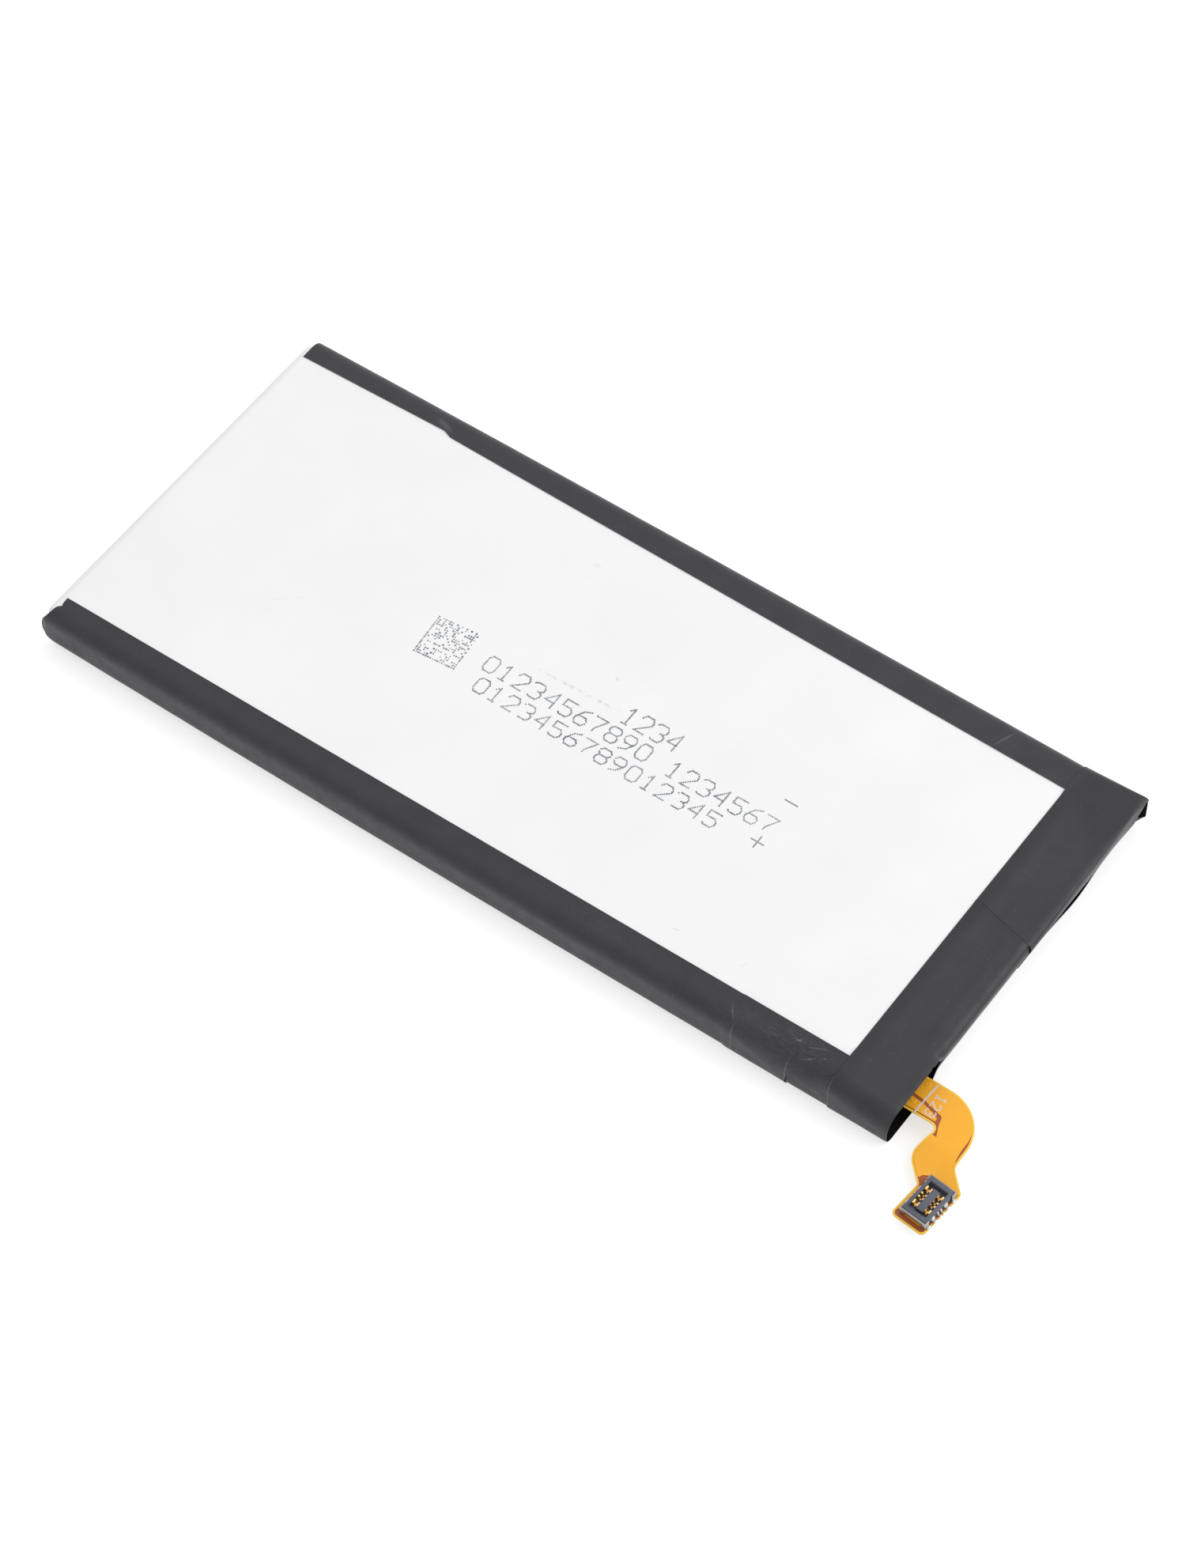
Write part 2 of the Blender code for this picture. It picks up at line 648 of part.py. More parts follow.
def build_tab(label, along, metal, film):
    """A cell tab, in its sealing film at the terrace's edge."""
    level = TERRACE_RISE + TERRACE_THICKNESS / 2
    middle = BOARD_Y + along
    low_y, high_y = middle - TAB_WIDTH / 2, middle + TAB_WIDTH / 2
    add_object(f"{label}_tab", profile_bar(tab_profile(), low_y, high_y), metal)
    start_x = TERRACE_X + CLEARANCE
    inner = LEAF / 2 + CLEARANCE
    outer = inner + FILM_WALL
    seal = block(
        (start_x, middle - FILM_WIDTH / 2, level - outer),
        (start_x + FILM_LENGTH, middle + FILM_WIDTH / 2, level + outer),
    )
    slot = block(
        (start_x - 1, low_y - CLEARANCE, level - inner),
        (start_x + FILM_LENGTH + 1, high_y + CLEARANCE, level + inner),
    )
    sleeve = add_object(f"{label}_tab_film", seal, film)
    combine(sleeve, add_object(f"{label}_slot", slot, film), "DIFFERENCE")


def board_box(name, along, size, base, material):
    """A box on the board, centred across it, where size is its X, Y and Z size."""
    middle = BOARD_X + BOARD_WIDTH / 2
    low = (middle - size[0] / 2, BOARD_Y + along - size[1] / 2, base)
    high = (middle + size[0] / 2, BOARD_Y + along + size[1] / 2, base + size[2])
    box = add_object(name, block(low, high), material)
    if size[2] > 3 * LEAF:
        bevel = box.modifiers.new("Edge", "BEVEL")
        bevel.width = 0.05 * MM
        bevel.segments = 1
    return box


def build_board(fibreglass, epoxy, ceramic, nickel, paper, black):
    """Protection board over the terrace, with its parts and its cover tape."""
    board_end = BOARD_Y + BOARD_LENGTH
    insulator = block(
        (BODY_HEAD_X + INSULATOR_FROM_BODY, BOARD_Y - INSULATOR_OVERHANG, TERRACE_Z + CLEARANCE),
        (TERRACE_X - INSULATOR_FROM_END, board_end + INSULATOR_OVERHANG, BOARD_Z - CLEARANCE),
    )
    add_object("terrace_insulator", insulator, paper)
    plan = [
        (BOARD_X, BOARD_Y, 0.3),
        (BOARD_X + BOARD_WIDTH, BOARD_Y, 0.3),
        (BOARD_X + BOARD_WIDTH, board_end, 0.3),
        (BOARD_X, board_end, 0.3),
    ]
    add_object("circuit_board", prism(rounded_outline(plan), BOARD_Z, BOARD_TOP), fibreglass)

    tab_end = POSITIVE_TAB_ALONG - TAB_WIDTH / 2
    cutoff_at = tab_end - CUTOFF_LENGTH / 2
    lead = TAB_WIDTH + CUTOFF_LEAD_LAP
    lead_at = tab_end - CUTOFF_LEAD_LAP + lead / 2
    board_box("cutoff_cell_lead", lead_at, (LEAD_WIDTH, lead, LEAF), LEAF_Z, nickel)
    short = (LEAD_WIDTH, 2 * CUTOFF_LEAD_LAP, LEAF)
    board_box("cutoff_board_lead", tab_end - CUTOFF_LENGTH, short, LEAF_Z, nickel)
    body = (CUTOFF_WIDTH, CUTOFF_LENGTH - 2 * CLEARANCE, CUTOFF_HEIGHT)
    board_box("thermal_cutoff", cutoff_at, body, CUTOFF_Z, epoxy)
    plate = (LEAD_WIDTH, TAB_WIDTH + 2 * WELD_PLATE_MARGIN, LEAF)
    board_box("negative_weld_plate", NEGATIVE_TAB_ALONG, plate, LEAF_Z, nickel)
    board_box("mosfet_pair", MOSFETS_ALONG, MOSFETS_SIZE, LEAF_Z, epoxy)
    board_box("protection_ic", IC_ALONG, IC_SIZE, LEAF_Z, epoxy)
    board_box("sense_resistor", SENSE_ALONG, SENSE_SIZE, LEAF_Z, ceramic)
    board_box("filter_capacitor", FILTER_ALONG, CAPACITOR_SIZE, LEAF_Z, ceramic)
    board_box("bypass_capacitor", BYPASS_ALONG, CAPACITOR_SIZE, LEAF_Z, ceramic)
    board_box("identity_resistor", IDENTITY_ALONG, IDENTITY_SIZE, LEAF_Z, ceramic)
    cover = block(
        (BODY_HEAD_X + COVER_FROM_BODY, BOARD_Y + COVER_END_MARGIN, COVER_Z),
        (BODY_HEAD_X + COVER_FROM_BODY + COVER_WIDTH, board_end, COVER_Z + TAPE),
    )
    add_object("board_cover_tape", cover, black)


def droop(y):
    """How far the flex has sagged at y."""
    return FLEX_DROP * ease((DROOP_Y - y) / DROOP_RUN)


def seat_point(u, v):
    """Plan point from the connector's own turned axes."""
    angle = math.radians(CONNECTOR_TURN)
    x = CONNECTOR_X + u * math.cos(angle) - v * math.sin(angle)
    return x, CONNECTOR_Y + u * math.sin(angle) + v * math.cos(angle)


def flex_outline():
    """Plan of the flex: a straight root, an S bend and the connector's tab."""
    root_x = BOARD_X + FLEX_ROOT_MARGIN
    far_x = TERRACE_X + FLEX_OUT
    high_y = FLEX_Y + FLEX_WIDTH
    nail_end = HOUSING_LENGTH / 2 + NAIL_LEAF
    right = HOUSING_WIDTH / 2 + TAB_PAST_TAILS
    left = -HOUSING_WIDTH / 2 - TAB_PAST_BACK
    bottom = -nail_end - TAB_PAST_END
    waist_x = far_x - FLEX_WIDTH - 0.4
    return rounded_outline(
        [
            (root_x, high_y, 0),
            (far_x, high_y, FLEX_BEND_RADIUS),
            (far_x - 0.1, CONNECTOR_Y + nail_end + 1.9, 0.6),
            (*seat_point(right, nail_end + 0.45), 0.45),
            (*seat_point(right, bottom), 0.5),
            (*seat_point(left, bottom), 0.5),
            (*seat_point(left, TAB_NECK), 0.4),
            (waist_x, CONNECTOR_Y + nail_end + 1.1, 1.5),
            (waist_x + 0.7, FLEX_Y, 0.55),
            (root_x, FLEX_Y, 0),
        ]
    )


def sagged_plate(outline, low, high):
    """A plate of the flex, cut across at each step of its sag and bent down there."""
    shape = prism(outline, low, high)
    for y in spread(DROOP_Y, DROOP_Y - DROOP_RUN, DROOP_STEPS):
        geometry = shape.verts[:] + shape.edges[:] + shape.faces[:]
        bmesh.ops.bisect_plane(shape, geom=geometry, plane_co=(0, y, 0), plane_no=(0, 1, 0))
    for vert in shape.verts:
        vert.co.z -= droop(vert.co.y)
    return shape


def build_flex(film, copper, steel):
    """Polyimide tail with two copper planes, and the stiffener under its tab."""
    outline = flex_outline()
    add_object("flex_film", sagged_plate(outline, FLEX_Z, FLEX_TOP), film)
    low = FLEX_TOP + COPPER_GLUE
    high = low + COPPER_FILM
    start = BOARD_X + FLEX_ROOT_MARGIN
    split_y = FLEX_Y + PLANE_SPLIT
    reach = SHOULDER_X + PLANE_REACH
    planes = inset_outline(outline, COPPER_MARGIN)
    far_plane = add_object("flex_far_plane", sagged_plate(planes, low, high), copper)
    apart = [
        (start - 1, split_y, 0),
        (reach + PLANE_GAP, split_y, 0.4),
        (reach + PLANE_GAP, FLEX_Y - 0.4, 0),
        (start - 1, FLEX_Y - 0.4, 0),
    ]
    cutter = prism(rounded_outline(apart), low - 1, high + 1)
    combine(far_plane, add_object("plane_split", cutter, copper), "DIFFERENCE")
    near = [
        (start + COPPER_MARGIN, split_y - PLANE_GAP, 0),
        (reach, split_y - PLANE_GAP, 0.3),
        (reach, FLEX_Y + COPPER_MARGIN, 0.3),
        (start + COPPER_MARGIN, FLEX_Y + COPPER_MARGIN, 0),
    ]
    add_object("flex_near_plane", prism(rounded_outline(near), low, high), copper)

    nail_end = HOUSING_LENGTH / 2 + NAIL_LEAF
    right = HOUSING_WIDTH / 2 + TAB_PAST_TAILS - STIFFENER_MARGIN
    left = STIFFENER_MARGIN - HOUSING_WIDTH / 2 - TAB_PAST_BACK
    bottom = STIFFENER_MARGIN - nail_end - TAB_PAST_END
    top = HOUSING_LENGTH / 2 - 0.4
    corners = ((right, top), (right, bottom), (left, bottom), (left, TAB_NECK))
    plan = rounded_outline([(*seat_point(u, v), 0.35) for u, v in corners])
    plate_top = FLEX_Z - FLEX_DROP - CLEARANCE
    plate = prism(plan, plate_top - STIFFENER_THICKNESS, plate_top)
    add_object("connector_stiffener", plate, steel)


def contact_profile(side):
    """Across the connector: a U-shaped spring in the socket with its tail out under the wall."""
    wall = HOUSING_WIDTH / 2
    outer = wall - HOUSING_WALL - CLEARANCE
    inner = ISLAND_WIDTH / 2 + CLEARANCE
    low = SOCKET_FLOOR + CLEARANCE
    high = low + CONTACT_LEAF
    tip = HOUSING_HEIGHT - CONTACT_TIP_DROP
    short_tip = ISLAND_HEIGHT - CONTACT_TIP_DROP
    foot = wall + CONTACT_LEAF + 2 * CLEARANCE
    end = wall + CONTACT_TAIL
    points = [
        (inner, short_tip),
        (inner, low),
        (foot - CONTACT_LEAF, low),
        (foot - CONTACT_LEAF, CLEARANCE),
        (end, CLEARANCE),
        (end, CLEARANCE + CONTACT_LEAF),
        (foot, CLEARANCE + CONTACT_LEAF),
        (foot, high),
        (outer, high),
        (outer, tip),
        (outer - CONTACT_LEAF, tip),
        (outer - CONTACT_LEAF, high),
        (inner + CONTACT_LEAF, high),
        (inner + CONTACT_LEAF, short_tip),
    ]
    return [(side * u, z) for u, z in points]


def contact_places():
    """Name, side, place along the row and width of each contact."""
    rows = (("back", -1), ("front", 1))
    along = (
        (CONTACT_WIDE_AT, CONTACT_WIDE),
        (CONTACT_FINE_AT, CONTACT_FINE),
        (-CONTACT_FINE_AT, CONTACT_FINE),
        (-CONTACT_WIDE_AT, CONTACT_WIDE),
    )
    for row, side in rows:
        for number, (place, width) in enumerate(along, 1):
            yield f"contact_{row}_{number}", side, place, width


def build_connector(plastic, gold, tin):
    """Low socket with an island, eight spring contacts and a fitting nail at each end."""
    seat = bpy.data.objects.new("connector_seat", None)
    seat.location = (CONNECTOR_X * MM, CONNECTOR_Y * MM, CONNECTOR_Z * MM)
    seat.rotation_euler = (0.0, 0.0, math.radians(CONNECTOR_TURN))
    bpy.context.scene.collection.objects.link(seat)

    half_u, half_v = HOUSING_WIDTH / 2, HOUSING_LENGTH / 2
    shell = [(-half_u, half_v, 0.12), (-half_u, -half_v, 0.12), (half_u, -half_v, 0.12)]
    shell.append((half_u, half_v, 0.12))
    body = prism(rounded_outline(shell, 2), CLEARANCE, HOUSING_HEIGHT)
    housing = add_object("connector_housing", body, plastic, seat)
    open_u, open_v = half_u - HOUSING_WALL, half_v - HOUSING_END_WALL
    above = HOUSING_HEIGHT + 1
    socket = block((-open_u, -open_v, SOCKET_FLOOR), (open_u, open_v, above))
    combine(housing, add_object("socket", socket, plastic, seat), "DIFFERENCE")
    island_v = ISLAND_LENGTH / 2
    island = block(
        (-ISLAND_WIDTH / 2, -island_v, SOCKET_FLOOR - 0.1),
        (ISLAND_WIDTH / 2, island_v, ISLAND_HEIGHT),
    )
    combine(housing, add_object("island", island, plastic, seat), "UNION")
    pockets = (
        ("far_pocket", -open_u, open_u, open_v - POCKET_LENGTH, open_v),
        ("near_pocket", -ISLAND_WIDTH / 2, ISLAND_WIDTH / 2, -open_v, POCKET_LENGTH - open_v),
    )
    for name, low_u, high_u, low_v, high_v in pockets:
        pocket = block((low_u, low_v, POCKET_FLOOR), (high_u, high_v, SOCKET_FLOOR + 0.1))
        combine(housing, add_object(name, pocket, plastic, seat), "DIFFERENCE")
    for name, side, place, width in contact_places():
        low_v, high_v = place - width / 2, place + width / 2
        add_object(name, profile_bar(contact_profile(side), low_v, high_v), gold, seat)
        ends = sorted((side * (open_u - 0.1), side * (half_u + 0.2)))
        window = block(
            (ends[0], low_v - CLEARANCE, SOCKET_FLOOR),
            (ends[1], high_v + CLEARANCE, SOCKET_FLOOR + CONTACT_LEAF + 2 * CLEARANCE),
        )
        combine(housing, add_object(f"{name}_window", window, plastic, seat), "DIFFERENCE")

    for label, side in (("near", -1), ("far", 1)):
        inner_u, inner_v = half_u + CLEARANCE, half_v + CLEARANCE
        outer_u, outer_v = inner_u + NAIL_LEAF, inner_v + NAIL_LEAF
        back_v = half_v - NAIL_RETURN
        plan = [
            (-outer_u, back_v),
            (-outer_u, outer_v),
            (outer_u, outer_v),
            (outer_u, back_v),
            (inner_u, back_v),
            (inner_u, inner_v),
            (-inner_u, inner_v),
            (-inner_u, back_v),
        ]
        clip = prism([(u, side * v) for u, v in plan], CLEARANCE, NAIL_HEIGHT)
        nail = add_object(f"fitting_nail_{label}", clip, tin, seat)
        ends = sorted((side * (inner_v - 0.1), side * (outer_v + 0.1)))
        arch = block(
            (NAIL_LEG - outer_u, ends[0], -0.1), (outer_u - NAIL_LEG, ends[1], NAIL_ARCH)
        )
        combine(nail, add_object(f"nail_arch_{label}", arch, tin, seat), "DIFFERENCE")


def main():
    """Clears the scene and builds every sub-part."""
    for obj in list(bpy.data.objects):
        bpy.data.objects.remove(obj, do_unlink=True)
    white = finish("White pouch laminate", (0.88, 0.88, 0.89), 0.45)
    black = finish("Black film tape", (0.065, 0.062, 0.068), 0.5)
    aluminium = finish("Aluminium tab", (0.76, 0.77, 0.78), 0.35, 1.0)
    nickel = finish("Nickel strip", (0.62, 0.6, 0.56), 0.35, 1.0)
    sealing = finish("Sealing film", (0.7, 0.66, 0.55), 0.4)
    fibreglass = finish("Green fibreglass board", (0.03, 0.13, 0.06), 0.4)
    epoxy = finish("Black moulded epoxy", (0.02, 0.02, 0.022), 0.45)
    ceramic = finish("Chip ceramic", (0.42, 0.36, 0.28), 0.5)
    paper = finish("Grey insulating paper", (0.3, 0.3, 0.28), 0.8)
    polyimide = finish("Bare yellow polyimide", (0.95, 0.62, 0.06), 0.35)
    copper = finish("Copper under amber coverlay", (0.9, 0.4, 0.04), 0.35, 0.3)
    steel = finish("Steel stiffener", (0.6, 0.6, 0.6), 0.35, 1.0)
    plastic = finish("Grey liquid crystal polymer", (0.14, 0.15, 0.18), 0.5)
    gold = finish("Gold plate", (0.9, 0.62, 0.25), 0.25, 1.0)
    tin = finish("Tin plate", (0.75, 0.73, 0.7), 0.3, 1.0)
    build_cell(white)
    build_side_tapes(black)
    build_tab("positive", POSITIVE_TAB_ALONG, aluminium, sealing)
    build_tab("negative", NEGATIVE_TAB_ALONG, nickel, sealing)
    build_board(fibreglass, epoxy, ceramic, nickel, paper, black)
    build_flex(polyimide, copper, steel)
    build_connector(plastic, gold, tin)
    build_head_wrap(black)


main()
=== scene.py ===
"""Looks of a mobile phone's pouch battery pack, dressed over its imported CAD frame.

Sizes are written in millimetres and become metres when a mesh is made. X runs along the cell to
the taped head, Y runs across it and Z up through the white face.
"""

import logging
import math
import random
from dataclasses import dataclass, field
from enum import Enum
from typing import Any, Callable, Iterable, Sequence

import bmesh
import bpy
import numpy as np
from bpy.types import Material, Mesh, Node, NodeSocket, NodeTree, Object
from mathutils import Matrix, Vector, noise


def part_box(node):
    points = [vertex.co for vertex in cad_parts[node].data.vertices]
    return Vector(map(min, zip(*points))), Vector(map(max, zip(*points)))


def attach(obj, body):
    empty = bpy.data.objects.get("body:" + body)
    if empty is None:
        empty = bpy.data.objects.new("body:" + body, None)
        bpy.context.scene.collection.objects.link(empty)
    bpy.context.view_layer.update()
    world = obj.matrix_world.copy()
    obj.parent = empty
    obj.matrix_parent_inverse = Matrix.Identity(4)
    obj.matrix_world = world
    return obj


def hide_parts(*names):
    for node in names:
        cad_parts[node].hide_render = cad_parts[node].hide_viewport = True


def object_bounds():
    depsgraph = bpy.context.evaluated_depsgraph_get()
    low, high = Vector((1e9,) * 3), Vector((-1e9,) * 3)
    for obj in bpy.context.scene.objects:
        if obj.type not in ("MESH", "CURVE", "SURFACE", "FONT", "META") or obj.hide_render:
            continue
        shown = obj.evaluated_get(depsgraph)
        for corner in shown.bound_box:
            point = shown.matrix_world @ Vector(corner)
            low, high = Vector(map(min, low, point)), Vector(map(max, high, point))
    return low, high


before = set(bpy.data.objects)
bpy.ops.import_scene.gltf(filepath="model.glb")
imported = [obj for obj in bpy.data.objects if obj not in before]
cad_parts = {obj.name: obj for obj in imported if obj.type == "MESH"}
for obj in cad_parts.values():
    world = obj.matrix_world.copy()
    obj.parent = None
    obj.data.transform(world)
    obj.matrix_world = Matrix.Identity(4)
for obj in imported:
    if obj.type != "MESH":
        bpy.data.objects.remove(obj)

CAD_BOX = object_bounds()
LOG = logging.getLogger("battery_pack")

MM = 0.001
# How near points are welded, how far apart laps of ink are kept, and which angle is an edge
WELD_MM = 0.002
LAP_MM = 0.002
EDGE_DEGREES = 35.0
BODY = "root"

BMesh = bmesh.types.BMesh
Shader = dict[str, Node]
Pair = tuple[float, float]
Point = tuple[float, float, float]
Plan = Sequence[Pair]
Corners = Sequence[tuple[float, float, float]]
Colour = tuple[float, float, float, float]

# Where a change begins, and over how long it runs
Span = Pair


class Slot(Enum):
    """The record's material slots."""

    POUCH = "pouch_laminate"
    TAPE = "film_tape"
    ALUMINIUM = "aluminium_tab"
    NICKEL = "nickel_strip"
    SEALING = "sealing_film"
    BOARD = "fibreglass_board"
    EPOXY = "moulded_epoxy"
    CERAMIC = "chip_ceramic"
    PAPER = "insulating_paper"
    POLYIMIDE = "polyimide"
    COPPER = "amber_copper"
    STEEL = "steel"
    PLASTIC = "connector_plastic"
    GOLD = "gold_plate"
    TIN = "tin_plate"


class Side(Enum):
    """The two long sides of the pack, by the sign of their Y."""

    NEAR = -1
    FAR = 1


# Sizes that several sub-assemblies share


def node_box(node: str) -> tuple[Vector, Vector]:
    """Gives a CAD node's lowest and highest corner in millimetres."""
    low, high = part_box(node)
    return low / MM, high / MM


@dataclass(frozen=True)
class PackSizes:
    """Main sizes of the wrapped cell, which the frame and the tapes' layers give."""

    half_length: float
    half_width: float
    thickness: float
    side_bow: float = 0.2
    edge_radius: float = 1.2
    tail_radius: float = 1.3
    head_radius: float = 0.8
    terrace_length: float = 2.6
    tape: float = 0.06
    glue: float = 0.02
    under_lip: float = 2.9
    lip_x: float = 40.4
    shoulder_x: float = 45.4
    shoulder_z: float = 3.75
    under_set_back: float = 0.6
    lip_flat: float = 0.8
    slack: float = 1.1
    slack_span: Span = (30.9, 5.5)
    taken_up: float = 0.75
    taken_span: Span = (38.6, 1.8)

    @classmethod
    def from_frame(cls) -> "PackSizes":
        """Reads the cell's own sizes from its CAD node."""
        low, high = node_box("pouch_cell")
        return cls(half_length=high.x, half_width=high.y, thickness=high.z)

    @property
    def layer(self) -> float:
        """Room that one tape and its glue take."""
        return self.tape + self.glue

    @property
    def body_head_x(self) -> float:
        """Where the drawn body ends and the terrace starts."""
        return self.half_length - self.terrace_length

    @property
    def end_half(self) -> float:
        """Half the width at the cell's two ends."""
        return self.half_width - self.side_bow

    def half_at(self, x: float) -> float:
        """Half the width at x, as the long sides bow out along the middle."""
        return self.half_width - self.side_bow * (x / self.half_length) ** 2

    def near_slack(self, x: float) -> float:
        """How much rounder than elsewhere the near top edge is at x, close to the head."""
        left = 1 - self.taken_up * ramp(x, self.taken_span)
        return self.slack * ramp(x, self.slack_span) * left


SIZES = PackSizes.from_frame()


# Small numeric helpers


def ease(value: float) -> float:
    """Smooth step from 0 to 1."""
    value = min(max(value, 0.0), 1.0)
    return value * value * (3 - 2 * value)


def part(value: float, span: Span) -> float:
    """How much of a span lies before a value, from 0 to 1."""
    return min(max((value - span[0]) / span[1], 0.0), 1.0)


def ramp(value: float, span: Span) -> float:
    """Smooth step from 0 to 1 over a span."""
    return ease(part(value, span))


def turned(origin: Pair, at: Pair, degrees: float) -> Pair:
    """Plan point of a place on axes that are turned about an origin."""
    (u, v), angle = at, math.radians(degrees)
    x = origin[0] + u * math.cos(angle) - v * math.sin(angle)
    return x, origin[1] + u * math.sin(angle) + v * math.cos(angle)


def spread(first: float, last: float, steps: int) -> list[float]:
    """Evenly spaced values from first to last, both included."""
    return [first + (last - first) * i / steps for i in range(steps + 1)]


def through(points: Sequence[Sequence[float]], count: int) -> np.ndarray:
    """Runs a smooth curve through some points.

    Args:
        points: The points that it passes through, in order.
        count: How many places to give along it.

    Returns:
        Its places, one in each row.
    """
    fixed = np.asarray(points, float)
    chords = np.linalg.norm(np.diff(fixed, axis=0), axis=1)
    along = np.concatenate(([0.0], np.cumsum(chords)))
    slopes = np.gradient(fixed, along, axis=0)
    wanted = np.linspace(0.0, along[-1], count)
    first = np.clip(np.searchsorted(along, wanted, side="right") - 1, 0, len(along) - 2)
    run = (along[first + 1] - along[first])[:, None]
    share = ((wanted - along[first]) / run[:, 0])[:, None]
    square, cube = share**2, share**3
    return (
        (2 * cube - 3 * square + 1) * fixed[first]
        + (cube - 2 * square + share) * run * slopes[first]
        + (3 * square - 2 * cube) * fixed[first + 1]
        + (cube - square) * run * slopes[first + 1]
    )


def rounded_outline(corners: Corners, step: float) -> list[Pair]:
    """Turns the corners of a plan into arcs.

    Args:
        corners: Each corner's X, Y and radius.
        step: About how far apart the points of an arc are.

    Returns:
        The outline's points.
    """
    outline = []
    for index, (x, y, radius) in enumerate(corners):
        corner = Vector((x, y))
        if radius <= 0:
            outline.append(tuple(corner))
            continue
        before = (Vector(corners[index - 1][:2]) - corner).normalized()
        after = (Vector(corners[(index + 1) % len(corners)][:2]) - corner).normalized()
        half_angle = before.angle(after) / 2
        centre = corner + (before + after).normalized() * (radius / math.sin(half_angle))
        start = corner + before * (radius / math.tan(half_angle)) - centre
        sweep = math.pi - 2 * half_angle
        turn = -sweep if before.cross(after) > 0 else sweep
        for share in spread(0, 1, max(4, round(sweep * radius / step))):
            arm = Matrix.Rotation(turn * share, 2) @ start
            outline.append(tuple(centre + arm))
    return outline


def inset_outline(outline: Plan, distance: float) -> list[Pair]:
    """Moves a plan outline inwards by the same distance all round."""
    pairs = zip(outline, [*outline[1:], outline[0]])
    area = sum(a[0] * b[1] - b[0] * a[1] for a, b in pairs)
    inward = distance if area > 0 else -distance
    moved = []
    for index, point in enumerate(outline):
        here = Vector(point)
        back = (here - Vector(outline[index - 1])).normalized()
        ahead = (Vector(outline[(index + 1) % len(outline)]) - here).normalized()
        normal = Vector((-back.y - ahead.y, back.x + ahead.x)).normalized()
        slant = max(normal.dot(Vector((-ahead.y, ahead.x))), 0.3)
        moved.append(tuple(here + normal * (inward / slant)))
    return moved


# Finishes


def srgb(code: str) -> Colour:
    """Turns an sRGB hex colour such as #4A494D into a linear one."""
    channels = [int(code[i : i + 2], 16) / 255 for i in (1, 3, 5)]
    linear = [c / 12.92 if c <= 0.04045 else ((c + 0.055) / 1.055) ** 2.4 for c in channels]
    return (linear[0], linear[1], linear[2], 1.0)


NOISE = "ShaderNodeTexNoise"
CELLS = "ShaderNodeTexVoronoi"
MIX = "ShaderNodeMix"
RANGE = "ShaderNodeMapRange"
MATH = "ShaderNodeMath"
VECTOR_MATH = "ShaderNodeVectorMath"
MAPPING = "ShaderNodeMapping"
BUMP = "ShaderNodeBump"


def live(node: Node) -> NodeSocket:
    """Gives a node's first output that is in use."""
    return next(socket for socket in node.outputs if socket.enabled)


def add(tree: NodeTree, kind: str, inputs: dict, **settings: Any) -> Node:
    """Adds a node with its settings and links.

    Args:
        tree: The tree it goes in.
        kind: The node's Blender type.
        inputs: For each input's name or number, a value, a socket that feeds it, or a node
            whose first live output does.
        **settings: Properties of the node itself, such as its operation.

    Returns:
        The node.
    """
    node = tree.nodes.new(kind)
    for name, value in settings.items():
        setattr(node, name, value)
    for key, value in inputs.items():
        source = live(value) if isinstance(value, Node) else value
        if isinstance(source, NodeSocket):
            tree.links.new(source, node.inputs[key])
        else:
            node.inputs[key].default_value = source
    return node


class Layer:
    """Something that lies over a finish's base colour, in a colour of its own."""

    colour: str

    def mask(self, tree: NodeTree, place: NodeSocket) -> Node:
        """Adds the nodes that say how strongly the layer covers a place.

        Args:
            tree: The material's tree.
            place: The Object coordinate in millimetres.

        Returns:
            The last of the nodes.
        """
        raise NotImplementedError


@dataclass(frozen=True)
class Cloud(Layer):
    """Soft patches of about one size."""

    colour: str
    size_mm: float
    share: float
    low: float = 0.35
    high: float = 0.7
    detail: float = 4.0

    def mask(self, tree: NodeTree, place: NodeSocket) -> Node:
        """Adds the patches."""
        inputs = {"Vector": place, "Scale": 1 / self.size_mm, "Detail": self.detail}
        patches = add(tree, NOISE, inputs)
        return add(tree, RANGE, {0: patches, 1: self.low, 2: self.high, 3: 0.0, 4: self.share})


@dataclass(frozen=True)
class Specks(Layer):
    """Loose round specks on some of the cells of a given size, many of them faint."""

    colour: str
    gap_mm: float
    rim: float
    core: float
    bare: float
    strength: float = 1.0

    def mask(self, tree: NodeTree, place: NodeSocket) -> Node:
        """Adds the specks, whose rim and core are shares of the gap between them.

        Args:
            tree: The material's tree.
            place: The Object coordinate in millimetres.

        Returns:
            The node that says how strongly a speck covers a place.
        """
        cells = add(tree, CELLS, {"Vector": place, "Scale": 1 / self.gap_mm})
        spot = add(tree, RANGE, {0: cells.outputs["Distance"], 1: self.rim, 2: self.core})
        draw = add(tree, "ShaderNodeSeparateColor", {0: cells.outputs["Color"]})
        chosen = add(tree, RANGE, {0: draw, 1: self.bare, 2: 1.0, 3: 0.0, 4: self.strength})
        return add(tree, MATH, {0: spot, 1: chosen}, operation="MULTIPLY")


